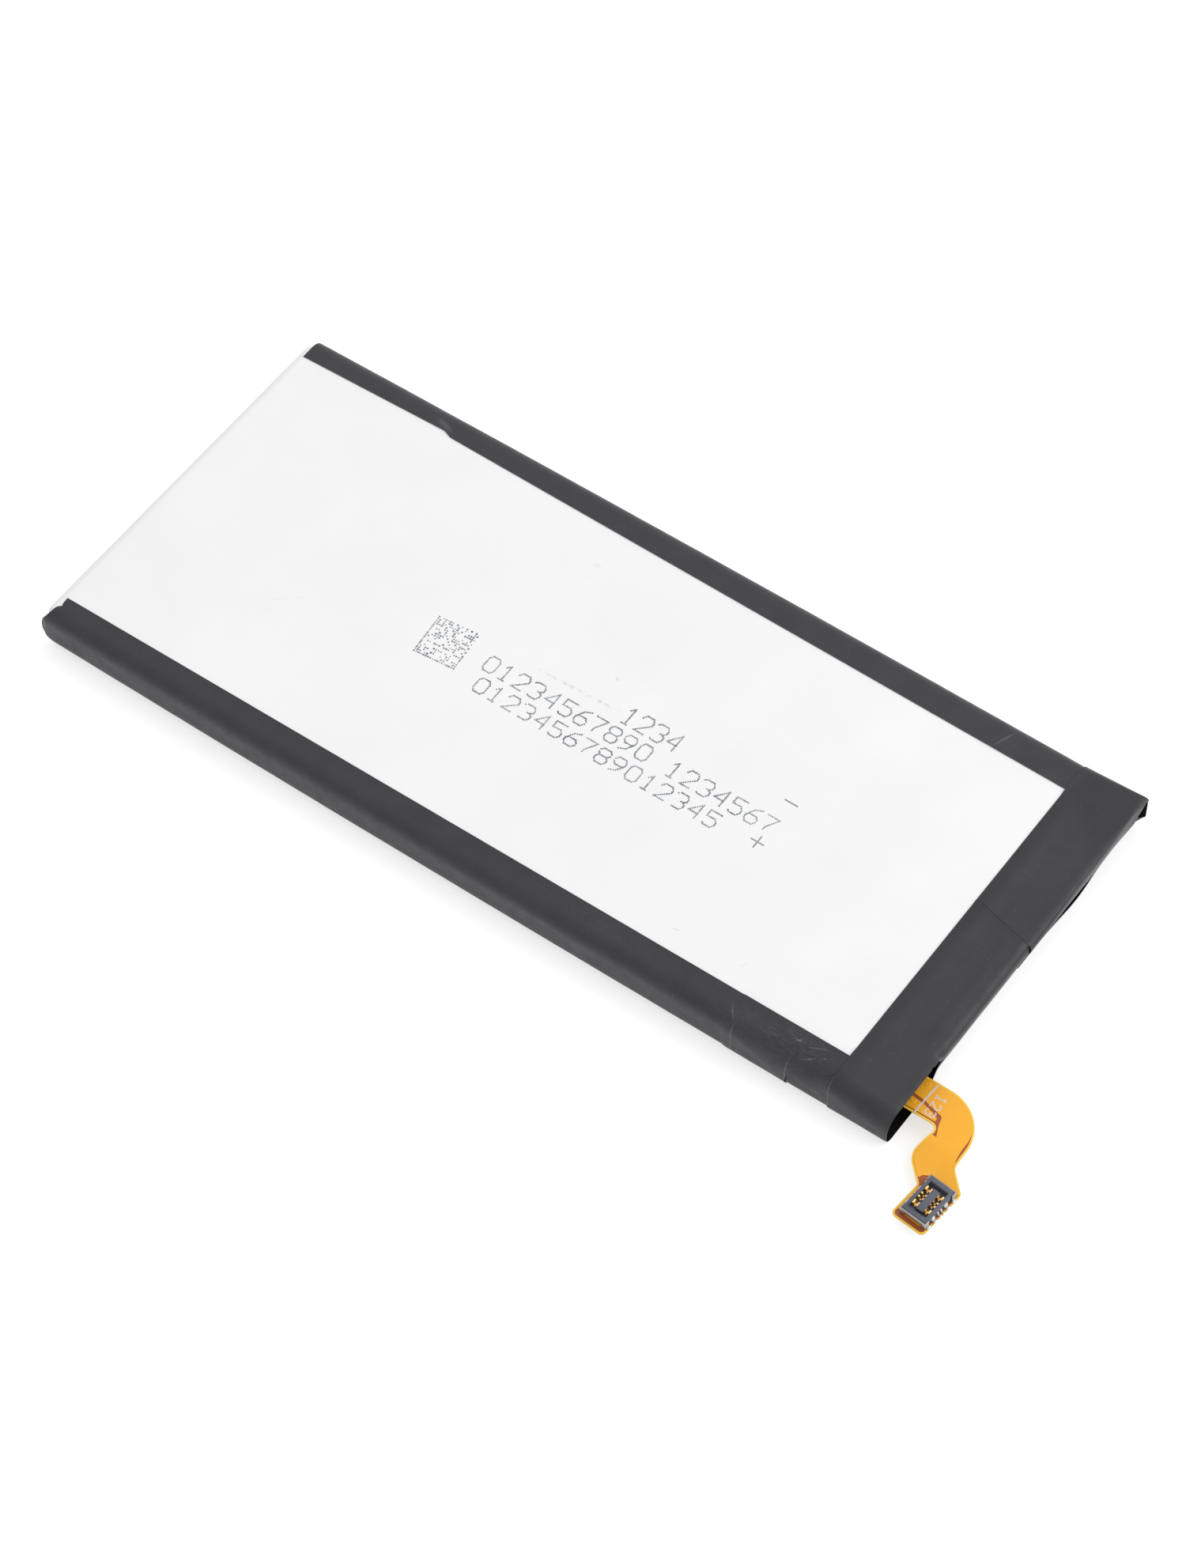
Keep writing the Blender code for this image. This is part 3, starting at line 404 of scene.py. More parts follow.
@dataclass(frozen=True)
class Mark(Layer):
    """A long soft pale blot on a level surface: painted highlight and wear on an edge or crease."""

    at: Pair
    half_length: float
    half_width: float
    turn: float
    strength: float
    grain: float = 0.0
    colour: str = "#A29CA2"

    def mask(self, tree: NodeTree, place: NodeSocket) -> Node:
        """Adds the blot, broken up where it has a grain.

        Args:
            tree: The material's tree.
            place: The Object coordinate in millimetres.

        Returns:
            The node that says how strongly the mark covers a place.
        """
        box = {
            "Vector": place,
            "Location": (*self.at, 0.0),
            "Rotation": (0.0, 0.0, math.radians(self.turn)),
            "Scale": (self.half_length, self.half_width, 40.0),
        }
        local = add(tree, MAPPING, box, vector_type="TEXTURE")
        reach = add(tree, VECTOR_MATH, {0: local}, operation="LENGTH").outputs["Value"]
        cover = add(tree, RANGE, {0: reach, 1: 1.0, 2: 0.2, 3: 0.0, 4: self.strength})
        if self.grain > 0:
            specks = Cloud(self.colour, self.grain, 1.0, low=0.42, high=0.6, detail=2.0)
            broken = specks.mask(tree, place)
            cover = add(tree, MATH, {0: cover, 1: broken}, operation="MULTIPLY")
        return cover


@dataclass(frozen=True)
class Soil(Mark):
    """A grey smear or print that handling leaves on the white laminate."""

    colour: str = "#8E8F92"


@dataclass(frozen=True)
class Scuff(Mark):
    """A patch of hairline rubs in the coat."""

    colour: str = "#66656B"
    hair_turn: float = 0.5

    def mask(self, tree: NodeTree, place: NodeSocket) -> Node:
        """Breaks the blot up into rubs.

        Args:
            tree: The material's tree.
            place: The Object coordinate in millimetres.

        Returns:
            The node that says how strongly the rubs cover a place.
        """
        # Short rubs of 0.8 mm, drawn 0.2 mm wide, coarser than real ones
        stretch = {"Rotation": (0.0, 0.0, self.hair_turn), "Scale": (1.2, 4.5, 3.0)}
        drawn = add(tree, MAPPING, {"Vector": place, **stretch})
        lines = add(tree, NOISE, {"Vector": drawn, "Scale": 1.0, "Detail": 5.0, "Roughness": 0.7})
        hairs = add(tree, RANGE, {0: lines, 1: 0.48, 2: 0.85})
        return add(tree, MATH, {0: super().mask(tree, place), 1: hairs}, operation="MULTIPLY")


@dataclass(frozen=True)
class Finish:
    """What a real surface is made of, and how it meets light."""

    name: str
    colour: str
    roughness: float
    metallic: float = 0.0
    ior: float = 1.5
    uneven: Pair = (-0.05, 0.05)
    polish_mm: float = 0.0
    grain_mm: float | Point = 0.1
    grain_strength: float = 0.7
    grain_depth: float = 0.003
    wave_mm: float = 0.0
    wave_depth: float = 0.0

    def layers(self) -> Iterable[Layer]:
        """Gives what lies over the base colour, the lowest first."""
        raise NotImplementedError

    def material(self) -> Material:
        """Makes the material, or gives the one that was made before."""
        made = bpy.data.materials.get(self.name)
        if made is None:
            made = bpy.data.materials.new(self.name)
            made.use_nodes = True
            made.diffuse_color = srgb(self.colour)
            tree = made.node_tree
            shader = tree.nodes["Principled BSDF"]
            shader.inputs["Base Color"].default_value = srgb(self.colour)
            shader.inputs["Roughness"].default_value = self.roughness
            shader.inputs["Metallic"].default_value = self.metallic
            shader.inputs["IOR"].default_value = self.ior
            place = add(tree, "ShaderNodeTexCoord", {}).outputs["Object"]
            in_mm = add(tree, VECTOR_MATH, {0: place, "Scale": 1 / MM}, operation="SCALE")
            for socket, source in self.paint(tree, live(in_mm)).items():
                tree.links.new(live(source), shader.inputs[socket])
        return made

    def paint(self, tree: NodeTree, place: NodeSocket) -> Shader:
        """Adds the layers of colour, the uneven polish, the grain and any slack waves under it.

        Args:
            tree: The material's tree.
            place: The Object coordinate in millimetres.

        Returns:
            The node that feeds each of the shader's patterned sockets.
        """
        colour = srgb(self.colour)
        for layer in self.layers():
            mixed = {0: layer.mask(tree, place), 6: colour, 7: srgb(layer.colour)}
            colour = add(tree, MIX, mixed, data_type="RGBA")
        sizes = tuple(1 / size for size in np.broadcast_to(self.grain_mm, 3))
        drawn = add(tree, MAPPING, {"Vector": place, "Scale": sizes})
        grain = add(tree, NOISE, {"Vector": drawn, "Scale": 1.0, "Detail": 2.0})
        patches = grain
        if self.polish_mm > 0:
            scale = 1 / self.polish_mm
            patches = add(tree, NOISE, {"Vector": place, "Scale": scale, "Detail": 3.0})
        low, high = self.uneven
        span = {3: self.roughness + low, 4: self.roughness + high}
        rough = add(tree, RANGE, {0: patches, 1: 0.3, 2: 0.7, **span})
        fine = {"Height": grain, "Strength": self.grain_strength, "Distance": self.grain_depth * MM}
        if self.wave_mm > 0:
            wave = add(tree, NOISE, {"Vector": place, "Scale": 1 / self.wave_mm, "Detail": 1.0})
            depth = {"Height": wave, "Strength": 1.0, "Distance": self.wave_depth * MM}
            fine["Normal"] = add(tree, BUMP, depth)
        return {"Base Color": colour, "Roughness": rough, "Normal": add(tree, BUMP, fine)}


@dataclass(frozen=True)
class FilmTape(Finish):
    """Black polyester film tape: a fine grain of 0.15 mm over slack waves of 4 mm.

    Its coat polishes unevenly in patches of a millimetre. Specks of dust, just under 0.1 mm wide,
    lie about half a millimetre apart.
    """

    light: str = "#3B3A40"
    dust: Specks = Specks("#6C6B70", 0.4, rim=0.11, core=0.05, bare=0.25, strength=0.9)
    marks: tuple[Mark, ...] = ()
    uneven: Pair = (-0.05, 0.07)
    polish_mm: float = 1.1
    grain_mm: float = 0.15
    grain_strength: float = 0.8
    grain_depth: float = 0.006
    wave_mm: float = 4.0
    wave_depth: float = 0.06

    def layers(self) -> Iterable[Layer]:
        """Gives cloudy dye, dust, and the worn places and painted highlights."""
        return Cloud(self.light, 2.6, 0.3, low=0.3, high=0.75), self.dust, *self.marks


@dataclass(frozen=True)
class PouchLaminate(Finish):
    """White laminate, embossed at 0.4 mm over the shallow dents of 10 mm that the press leaves."""

    shade: str = "#E9E9EB"
    marks: tuple[Mark, ...] = ()
    uneven: Pair = (-0.04, 0.06)
    grain_mm: float = 0.4
    grain_strength: float = 0.5
    grain_depth: float = 0.005
    wave_mm: float = 10.0
    wave_depth: float = 0.08

    def layers(self) -> Iterable[Layer]:
        """Gives faint clouding and the marks of handling."""
        return Cloud(self.shade, 9.0, 0.3, high=0.75, detail=5.0), *self.marks


@dataclass(frozen=True)
class Coating(Finish):
    """A printed, moulded or laminated surface with clouded colour, specks and a grain."""

    second: str = "#FFFFFF"
    cloud_mm: float = 2.0
    cloud_share: float = 0.3
    specks: tuple[Specks, ...] = ()

    def layers(self) -> Iterable[Layer]:
        """Gives the second colour and the specks."""
        return Cloud(self.second, self.cloud_mm, self.cloud_share), *self.specks


@dataclass(frozen=True)
class Metal(Finish):
    """Bare or plated sheet metal, with the grain of rolling or plating and dulled patches."""

    dull: str = "#8C8A86"
    dull_share: float = 0.25
    metallic: float = 1.0
    uneven: Pair = (-0.06, 0.1)
    grain_mm: float | Point = 0.05
    grain_strength: float = 0.4
    grain_depth: float = 0.002

    def layers(self) -> Iterable[Layer]:
        """Gives the tarnish, in patches of half a millimetre."""
        return (Cloud(self.dull, 0.5, self.dull_share, low=0.4, high=0.75, detail=3.0),)


@dataclass(frozen=True)
class CappedChip(Finish):
    """Fired chip ceramic whose two ends are dipped in tin."""

    centre_y: float = 0.0
    half_length: float = 0.5
    cap: float = 0.2
    cap_blend: float = 0.02
    uneven: Pair = (0.0, 0.0)
    grain_mm: float = 0.08
    grain_depth: float = 0.0
    second: str = "#5A4B3C"
    tin: str = "#C9C7C2"

    def layers(self) -> Iterable[Layer]:
        """Gives the ceramic's second colour, as fine as its grain."""
        return (Cloud(self.second, self.grain_mm, 0.3, low=0.3, detail=2.0),)

    def paint(self, tree: NodeTree, place: NodeSocket) -> Shader:
        """Tins the two ends.

        Args:
            tree: The material's tree.
            place: The Object coordinate in millimetres.

        Returns:
            The node that feeds each of the shader's patterned sockets.
        """
        along = add(tree, "ShaderNodeSeparateXYZ", {0: place}).outputs["Y"]
        off = add(tree, MATH, {0: along, 1: self.centre_y}, operation="SUBTRACT")
        away = add(tree, MATH, {0: off}, operation="ABSOLUTE")
        edge = self.half_length - self.cap
        reach = {1: edge - self.cap_blend, 2: edge + self.cap_blend}
        capped = add(tree, RANGE, {0: away, **reach})
        painted = super().paint(tree, place)
        mixed = {0: capped, 6: painted["Base Color"], 7: srgb(self.tin)}
        painted["Base Color"] = add(tree, MIX, mixed, data_type="RGBA")
        return {**painted, "Metallic": capped}


# A matte coat over dyed film: near black with a faint purple cast, and a soft sheen
BLACK_TAPE = FilmTape(
    "Matte coated black polyester film",
    "#28272D",
    0.46,
    # Both marks are painted highlights: the near head tape's edge on the wall, and the far one's nose
    marks=(Mark((40.4, -20.0), 0.1, 1.3, 0.0, 0.4), Mark((46.66, 12.0), 0.3, 8.8, 0.0, 0.62)),
)
# The far edge's strip has bleached a little: the same sheen over a softer black
FADED_TAPE = FilmTape(
    "Faded black polyester film",
    "#302F35",
    0.46,
    light="#434248",
    # Both marks are painted highlights along the strip's creases
    marks=(Mark((33.3, 17.7), 1.5, 0.13, 70.0, 0.2), Mark((-27.3, 17.9), 1.3, 0.4, -18.0, 0.14)),
)
# The same film where fingers and tools have rubbed hairlines into its coat
SCUFFED_TAPE = FilmTape(
    "Rubbed black polyester film",
    "#2B2A30",
    0.46,
    light="#3F3E44",
    marks=(
        Scuff((36.4, -18.0), 4.2, 1.6, -4.0, 0.55),
        Scuff((32.0, -18.4), 5.0, 1.8, 0.0, 0.4),
        Scuff((16.0, -17.8), 12.0, 1.2, 0.0, 0.25),
        # The plain marks are painted highlights along creases and cut ends, with some wear
        Mark((30.76, -20.2), 0.14, 1.1, 0.0, 0.22),
        Mark((30.1, -18.6), 0.95, 0.12, -52.0, 0.16),
        Mark((36.2, -20.2), 0.1, 1.2, 0.0, 0.35),
        Mark((36.1, -17.7), 0.6, 0.2, 20.0, 0.4, 0.2),
        Mark((38.3, -18.3), 1.6, 0.1, 28.0, 0.35, 0.25),
        Mark((37.9, -17.5), 1.1, 0.09, 24.0, 0.3, 0.2),
    ),
)
# The cut edges are painted paler than the face, as a painted glint along each edge
GLINT_PAINTED_EDGE = FilmTape("Polyester film edge painted with a glint", "#5E5D63", 0.6, light="#77767C")
# The film inside the head kept its gloss, and lies in the others' shade; its colour is painted darker
# than theirs, as shade
SHADE_DARKENED_INNER_TAPE = FilmTape("Inner black polyester film darkened as painted shade", "#1D1C20", 0.38)
# The tapes' inner side carries black acrylic glue: dull, and nearly without a reflection
# Its near black is partly painted shade, for where it shows, as under the far head tape's nose
GLUE_AND_PAINTED_SHADE = Coating(
    "Black acrylic glue on film, darkened as painted shade", "#151516", 0.85, second="#1E1E20", cloud_mm=1.5, grain_mm=0.2,
    ior=1.2,
)
# Drawn nylon laminate: a bright, cool white, satin and faintly pebbled
POUCH = PouchLaminate(
    "Deep-drawn white nylon laminate",
    "#F8F8F9",
    0.5,
    marks=(
        Soil((-0.2, 0.76), 5.6, 0.24, 2.3, 0.3, 0.5),
        Soil((2.6, 0.95), 2.4, 0.13, 2.3, 0.34, 0.25),
        Soil((-6.62, 12.85), 0.5, 0.25, 20.0, 0.16),
        Soil((2.23, 3.71), 0.35, 0.22, -30.0, 0.2),
        Soil((21.5, -14.6), 0.7, 0.12, 12.0, 0.18),
        Soil((28.2, -14.15), 2.2, 0.09, 65.0, 0.13, 0.6),
        Soil((-27.0, -6.0), 3.0, 0.15, 40.0, 0.06, 0.5),
    ),
)
# Ink jetted in dots: mid grey, thin and uneven, fully matte
INK = Coating(
    "Jetted grey ink", "#797C80", 0.6, second="#B4B7BA", cloud_mm=2.5, cloud_share=0.75,
    grain_mm=0.12,
)
# Bare cast film at the flex's rim: a clear yellow with a plastic gloss
POLYIMIDE = Coating(
    "Cast polyimide film", "#FFCF45", 0.36, second="#FBBE38", cloud_mm=0.9, grain_depth=0.002
)
# Laminating adhesive with no copper behind it: a warm brown
ADHESIVE = Coating(
    "Pressed brown laminating adhesive", "#AE5A30", 0.4, second="#9A4E2A", cloud_mm=0.6
)
# Etched copper seen through amber film: saturated orange with a few dark specks
COVERED_COPPER = Coating(
    "Etched copper under amber film", "#FFB62C", 0.34, second="#FCAA24", cloud_mm=1.1,
    grain_depth=0.002, specks=(Specks("#7C4818", 1.3, rim=0.07, core=0.04, bare=0.75),),
)
# Screened ink: chalky white with a ragged, thin cover
SILKSCREEN = Coating(
    "Screened white ink", "#E4DEDC", 0.65, second="#CDBFB6", cloud_mm=0.3, cloud_share=0.5,
    grain_mm=0.08,
)
# Glass-filled liquid crystal polymer, moulded: blue grey with a fine satin
LCP = Coating(
    "Moulded grey liquid crystal polymer", "#5F616D", 0.42, second="#50525E", cloud_mm=0.8,
    grain_mm=0.06,
)
# Transfer-moulded chip body: flat black with a pitted skin
EPOXY = Coating(
    "Transfer-moulded black epoxy", "#1F1F21", 0.5, second="#2C2C2F", cloud_mm=0.7,
    grain_mm=0.05, grain_depth=0.006,
)
# Solder mask cast over woven glass: deep green and glossy
FIBREGLASS = Coating(
    "Solder mask over woven fibreglass", "#1E5A34", 0.35, second="#256B3F", cloud_mm=1.5,
    grain_mm=0.25,
)
# Calendered paper: grey, fibrous and fully matte
PAPER = Coating(
    "Calendered grey insulating paper", "#8E8E88", 0.85, second="#7C7C76", cloud_mm=1.2,
    cloud_share=0.5, grain_mm=0.12, grain_depth=0.012,
)
# Heat-sealed film round a tab: milky, and wrinkled by the seal
SEALING = Coating(
    "Heat-sealed polypropylene film", "#CDC6AE", 0.35, second="#BDB497", cloud_mm=0.8,
    grain_mm=0.2,
)
# Cold-rolled strip: bright, with its grain along X
ALUMINIUM = Metal("Rolled aluminium tab", "#D8DADC", 0.32, grain_mm=(1.5, 0.04, 0.04))
NICKEL = Metal("Rolled nickel strip", "#C9C3B8", 0.3, grain_mm=(1.5, 0.04, 0.04))
# The stiffener is rolled the other way, with a dull satin
STEEL = Metal("Rolled stainless steel", "#BFC0C2", 0.34, grain_mm=(0.04, 1.2, 0.04))
# Hard gold over nickel: warm, bright, and duller where it is thin
GOLD = Metal("Hard-plated gold on bronze", "#FFDA94", 0.3, dull="#E0A852", dull_share=0.35)
# Matt tin plate: a white silver with soft reflections
TIN = Metal("Matt-plated tin on bronze", "#DAD8D6", 0.34, dull="#B4B1AD")
# The nails' tin has alloyed with the solder, which leaves it a duller grey
NAIL = Metal("Reflowed tin on the fitting nails", "#AFACAA", 0.4, dull="#86837F", dull_share=0.5)
# Reflowed solder: bright beads with a frosty skin
SOLDER = Metal("Reflowed tin solder", "#DEDEDF", 0.3, dull="#A8A8AA", grain_mm=0.09)


# Making meshes and placing pieces


def new_object(name: str, mesh: Mesh, finishes: Iterable[Finish]) -> Object:
    """Links a finished mesh, in metres, as an object with its materials."""
    for finish in finishes:
        mesh.materials.append(finish.material())
    obj = bpy.data.objects.new(name, mesh)
    bpy.context.scene.collection.objects.link(obj)
    return obj


def shade(mesh: Mesh, sharp_degrees: float) -> None:
    """Shades a mesh smooth but for its edges past an angle."""
    mesh.polygons.foreach_set("use_smooth", [True] * len(mesh.polygons))
    mesh.set_sharp_from_angle(angle=math.radians(sharp_degrees))
    mesh.update()


def from_bmesh(
    name: str, shape: BMesh, finishes: Iterable[Finish], sharp_degrees: float = 30.0
) -> Object:
    """Turns a bmesh in millimetres into an object, with its faces outwards, and frees it."""
    bmesh.ops.recalc_face_normals(shape, faces=shape.faces)
    bmesh.ops.scale(shape, vec=(MM, MM, MM), verts=shape.verts)
    mesh = bpy.data.meshes.new(name)
    shape.to_mesh(mesh)
    shape.free()
    shade(mesh, sharp_degrees)
    return new_object(name, mesh, finishes)


def evaluated_copy(obj: Object) -> Mesh:
    """Applies an object's modifiers, takes the result as a plain mesh and clears them."""
    graph = bpy.context.evaluated_depsgraph_get()
    result = bpy.data.meshes.new_from_object(obj.evaluated_get(graph))
    obj.modifiers.clear()
    return result


def mount(obj: Object, slot: Slot, *nodes: str) -> Object:
    """Lets a piece ride on the pack and stand for the CAD nodes that it replaces."""
    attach(obj, BODY)
    if nodes:
        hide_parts(*nodes)
    return obj


def loft(shape: BMesh, rings: Sequence[Sequence[Point]]) -> list[bmesh.types.BMFace]:
    """Joins closed rings of as many points each, and closes the first and the last.

    Args:
        shape: What the faces are added to.
        rings: The rings, in millimetres.

    Returns:
        The faces, from the first pair of rings to the last, and then the two ends.
    """
    made = [[shape.verts.new(point) for point in ring] for ring in rings]
    faces = []
    for first, second in zip(made, made[1:]):
        for i in range(len(first)):
            j = (i + 1) % len(first)
            faces.append(shape.faces.new((first[i], first[j], second[j], second[i])))
    return [*faces, shape.faces.new(made[0]), shape.faces.new(made[-1])]


@dataclass(frozen=True)
class Crease:
    """A soft ridge pressed into a tape, from one point to another."""

    start: Point
    end: Point
    height: float
    width: float

    def lift(self, grid: np.ndarray) -> np.ndarray:
        """Gives how far each point of a grid is pushed out."""
        start, end = np.array(self.start), np.array(self.end)
        run = end - start
        share = np.clip((grid - start) @ run / (run @ run), 0, 1)
        gap = np.linalg.norm(grid - (start + share[..., None] * run), axis=-1)
        return self.height * np.exp(-((gap / self.width) ** 2))


def grid_normals(grid: np.ndarray, inside: Point) -> np.ndarray:
    """Gives a grid's normals, which point away from a place inside."""
    down, across = np.gradient(grid, axis=0), np.gradient(grid, axis=1)
    normals = np.cross(down, across)
    normals /= np.maximum(np.linalg.norm(normals, axis=-1), 1e-9)[..., None]
    middle = grid.shape[0] // 2, grid.shape[1] // 2
    if normals[middle] @ (grid[middle] - np.array(inside)) < 0:
        normals = -normals
    return normals


@dataclass(frozen=True)
class Sheet:
    """A piece of film tape whose outer face is a grid of points."""

    name: str
    node: str
    finish: Finish
    inside: Point
    creases: tuple[Crease, ...]
    ripple: float
    ripple_mm: float
    seed: float

    def build(self, grid: np.ndarray) -> Object:
        """Makes the tape as a closed body of its real thickness.

        Args:
            grid: Points of the outer face in rows, in millimetres.

        Returns:
            The tape's object in its CAD node's place, its cut edges in a finish of their own, painted
            as a glint.
        """
        normals = grid_normals(grid, self.inside)
        lift = np.zeros(grid.shape[:2])
        for crease in self.creases:
            lift += crease.lift(grid)
        shift = Vector((self.seed, 0.0, 0.0))
        flat = [noise.noise(Vector(p) / self.ripple_mm + shift) for p in grid.reshape(-1, 3)]
        lift += self.ripple * np.array(flat).reshape(lift.shape)
        outer = grid + normals * lift[..., None]
        outer[..., 2] = np.maximum(outer[..., 2], CAD_BOX[0][2] / MM)
        inner = outer - normals * SIZES.tape
        rows, columns = lift.shape
        shape = bmesh.new()
        skins = [
            [[shape.verts.new(point) for point in row] for row in skin] for skin in (outer, inner)
        ]
        for i in range(rows - 1):
            for j in range(columns - 1):
                for skin in skins:
                    corners = (skin[i][j], skin[i][j + 1], skin[i + 1][j + 1], skin[i + 1][j])
                    shape.faces.new(corners).material_index = 2 if skin is skins[1] else 0
        rim = [(0, j) for j in range(columns)] + [(i, columns - 1) for i in range(1, rows)]
        rim += [(rows - 1, j) for j in range(columns - 2, -1, -1)]
        rim += [(i, 0) for i in range(rows - 2, 0, -1)]
        for (i, j), (m, n) in zip(rim, rim[1:] + rim[:1]):
            corners = (skins[0][i][j], skins[0][m][n], skins[1][m][n], skins[1][i][j])
            shape.faces.new(corners).material_index = 1
        # The rim's finish is a painted glint; the inner skin's glue is painted near black as shade
        obj = from_bmesh(self.name, shape, (self.finish, GLINT_PAINTED_EDGE, GLUE_AND_PAINTED_SHADE), 40.0)
        return mount(obj, Slot.TAPE, self.node)


def prism(outline: Plan, low: float, high: float, lip: Plan | None = None) -> BMesh:
    """Draws a plan outline up into a level plate.

    Args:
        outline: The plan, in order.
        low: Height of its underside.
        high: Height of its top.
        lip: An outline of as many points, inside the first, within which the top has the
            plate's second material.

    Returns:
        The plate.
    """
    shape = bmesh.new()
    rings = [[(x, y, z) for x, y in outline] for z in (low, high)]
    if lip is not None:
        rings.append([(x, y, high) for x, y in lip])
    loft(shape, rings)[-1].material_index = int(lip is not None)
    return shape


def rounded_copy(node: str, finish: Finish, slot: Slot, radius: float) -> Object:
    """Stands for a CAD node with the same body, its edges rounded.

    Args:
        node: The CAD node.
        finish: What it is made of.
        slot: Its slot in the record; not used.
        radius: Radius of its edges.

    Returns:
        The piece.
    """
    shape = bmesh.new()
    shape.from_mesh(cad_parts[node].data)
    bmesh.ops.remove_doubles(shape, verts=shape.verts, dist=WELD_MM * MM)
    bmesh.ops.dissolve_limit(
        shape, angle_limit=math.radians(1), verts=shape.verts, edges=shape.edges
    )
    bmesh.ops.recalc_face_normals(shape, faces=shape.faces)
    mesh = bpy.data.meshes.new(f"{node}_rounded")
    shape.to_mesh(mesh)
    shape.free()
    obj = new_object(f"{node}_rounded", mesh, ())
    bevel = obj.modifiers.new("Edge", "BEVEL")
    bevel.width = radius * MM
    bevel.segments = 2
    bevel.limit_method = "ANGLE"
    bevel.angle_limit = math.radians(EDGE_DEGREES)
    bevel.miter_outer = "MITER_ARC"
    obj.data = evaluated_copy(obj)
    obj.data.materials.clear()
    obj.data.materials.append(finish.material())
    shade(obj.data, 50.0)
    return mount(obj, slot, node)


# Geometry Nodes for what repeats or follows a path


class NodeForm:
    """A Geometry Nodes tree that is built here, run once and turned into a plain mesh."""

    def __init__(self, name: str, finish: Finish) -> None:
        """Starts an empty tree that ends in Realize Instances and Set Material.

        Args:
            name: Name of the tree.
            finish: What the result is made of.
        """
        self.finish = finish
        self.sockets: dict[str, str] = {}
        self.tree = bpy.data.node_groups.new(name, "GeometryNodeTree")
        for way in ("INPUT", "OUTPUT"):
            kind = {"in_out": way, "socket_type": "NodeSocketGeometry"}
            self.tree.interface.new_socket("Geometry", **kind)

    def size(self, name: str, kind: str = "NodeSocketFloat") -> None:
        """Adds a named input to the tree."""
        socket = self.tree.interface.new_socket(name, in_out="INPUT", socket_type=kind)
        self.sockets[name] = socket.identifier

    def close(self, geometry: Node) -> None:
        """Realises the instances, gives them their material and ends the tree."""
        real = add(self.tree, "GeometryNodeRealizeInstances", {0: geometry})
        finish = {"Geometry": real, "Material": self.finish.material()}
        add(self.tree, "NodeGroupOutput", {0: add(self.tree, "GeometryNodeSetMaterial", finish)})

    def run(self, name: str, source: Mesh, sizes: dict[str, float]) -> Object:
        """Runs the tree on a mesh.

        Args:
            name: Name of the piece.
            source: The points or lines that the tree starts from, in metres.
            sizes: A value for each named input.

        Returns:
            A plain object at the origin.
        """
        obj = new_object(name, source, ())
        modifier = obj.modifiers.new("Form", "NODES")
        modifier.node_group = self.tree
        for label, value in sizes.items():
            modifier[self.sockets[label]] = value
        obj.data = evaluated_copy(obj)
        return obj


def point_cloud(name: str, points: Sequence[Point]) -> Mesh:
    """Makes a mesh of loose points, written in millimetres."""
    mesh = bpy.data.meshes.new(name)
    mesh.from_pydata([tuple(c * MM for c in p) for p in points], [], [])
    return mesh


def line_work(name: str, strokes: Sequence[Sequence[Point]]) -> Mesh:
    """Makes a mesh of open lines, written in millimetres."""
    points, edges = [], []
    for stroke in strokes:
        first = len(points)
        points += [tuple(c * MM for c in p) for p in stroke]
        edges += [(first + i, first + i + 1) for i in range(len(stroke) - 1)]
    mesh = bpy.data.meshes.new(name)
    mesh.from_pydata(points, edges, [])
    return mesh


def stroke_pieces(strokes: Sequence[Plan], width: float, level: float) -> list[list[Point]]:
    """Cuts flat strokes into straight pieces that lap at their corners.

    Args:
        strokes: The strokes' plans.
        width: How wide they are, so that each piece runs half of it past its ends.
        level: Height of the first piece; two more, a hair higher each, keep the laps apart.

    Returns:
        The pieces, of two points each.
    """
    pieces = []
    for stroke in strokes:
        for first, second in zip(stroke, stroke[1:]):
            start, end = Vector(first), Vector(second)
            past = (end - start).normalized() * (width / 2)
            z = level + LAP_MM * (len(pieces) % 3)
            pieces.append([(*(start - past), z), (*(end + past), z)])
    return pieces


class DotForm(NodeForm):
    """Flat dots or tiles of ink on points, each a little different in size."""

    def __init__(self, name: str, finish: Finish, seed: int) -> None:
        """Builds the tree: a low prism on every point, its size drawn from a fixed seed."""
        super().__init__(name, finish)
        for label in ("Radius", "Height", "Turn", "Least size"):
            self.size(label)
        self.size("Sides", "NodeSocketInt")
        source = add(self.tree, "NodeGroupInput", {}).outputs
        inputs = {"Vertices": source["Sides"], "Radius": source["Radius"], "Depth": source["Height"]}
        dot = add(self.tree, "GeometryNodeMeshCylinder", inputs)
        inputs = {2: source["Least size"], 3: 1.0, "Seed": seed}
        drawn = add(self.tree, "FunctionNodeRandomValue", inputs, data_type="FLOAT")
        turn = add(self.tree, "ShaderNodeCombineXYZ", {2: source["Turn"]})
        inputs = {"Points": source["Geometry"], "Instance": dot, "Rotation": turn, "Scale": drawn}
        self.close(add(self.tree, "GeometryNodeInstanceOnPoints", inputs))


class RibbonForm(NodeForm):
    """Flat strokes of ink that follow lines."""

    def __init__(self, name: str, finish: Finish) -> None:
        """Builds the tree: a flat rectangle swept along every line."""
        super().__init__(name, finish)
        self.size("Width")
        self.size("Height")
        source = add(self.tree, "NodeGroupInput", {}).outputs
        line = add(self.tree, "GeometryNodeMeshToCurve", {"Mesh": source["Geometry"]})
        upright = add(self.tree, "GeometryNodeSetCurveNormal", {"Curve": line}, mode="Z_UP")
        inputs = {"Width": source["Width"], "Height": source["Height"]}
        profile = add(self.tree, "GeometryNodeCurvePrimitiveQuadrilateral", inputs)
        inputs = {"Curve": upright, "Profile Curve": profile, "Fill Caps": True}
        swept = add(self.tree, "GeometryNodeCurveToMesh", inputs)
        inputs = {"Geometry": swept, "Shade Smooth": False}
        self.close(add(self.tree, "GeometryNodeSetShadeSmooth", inputs))


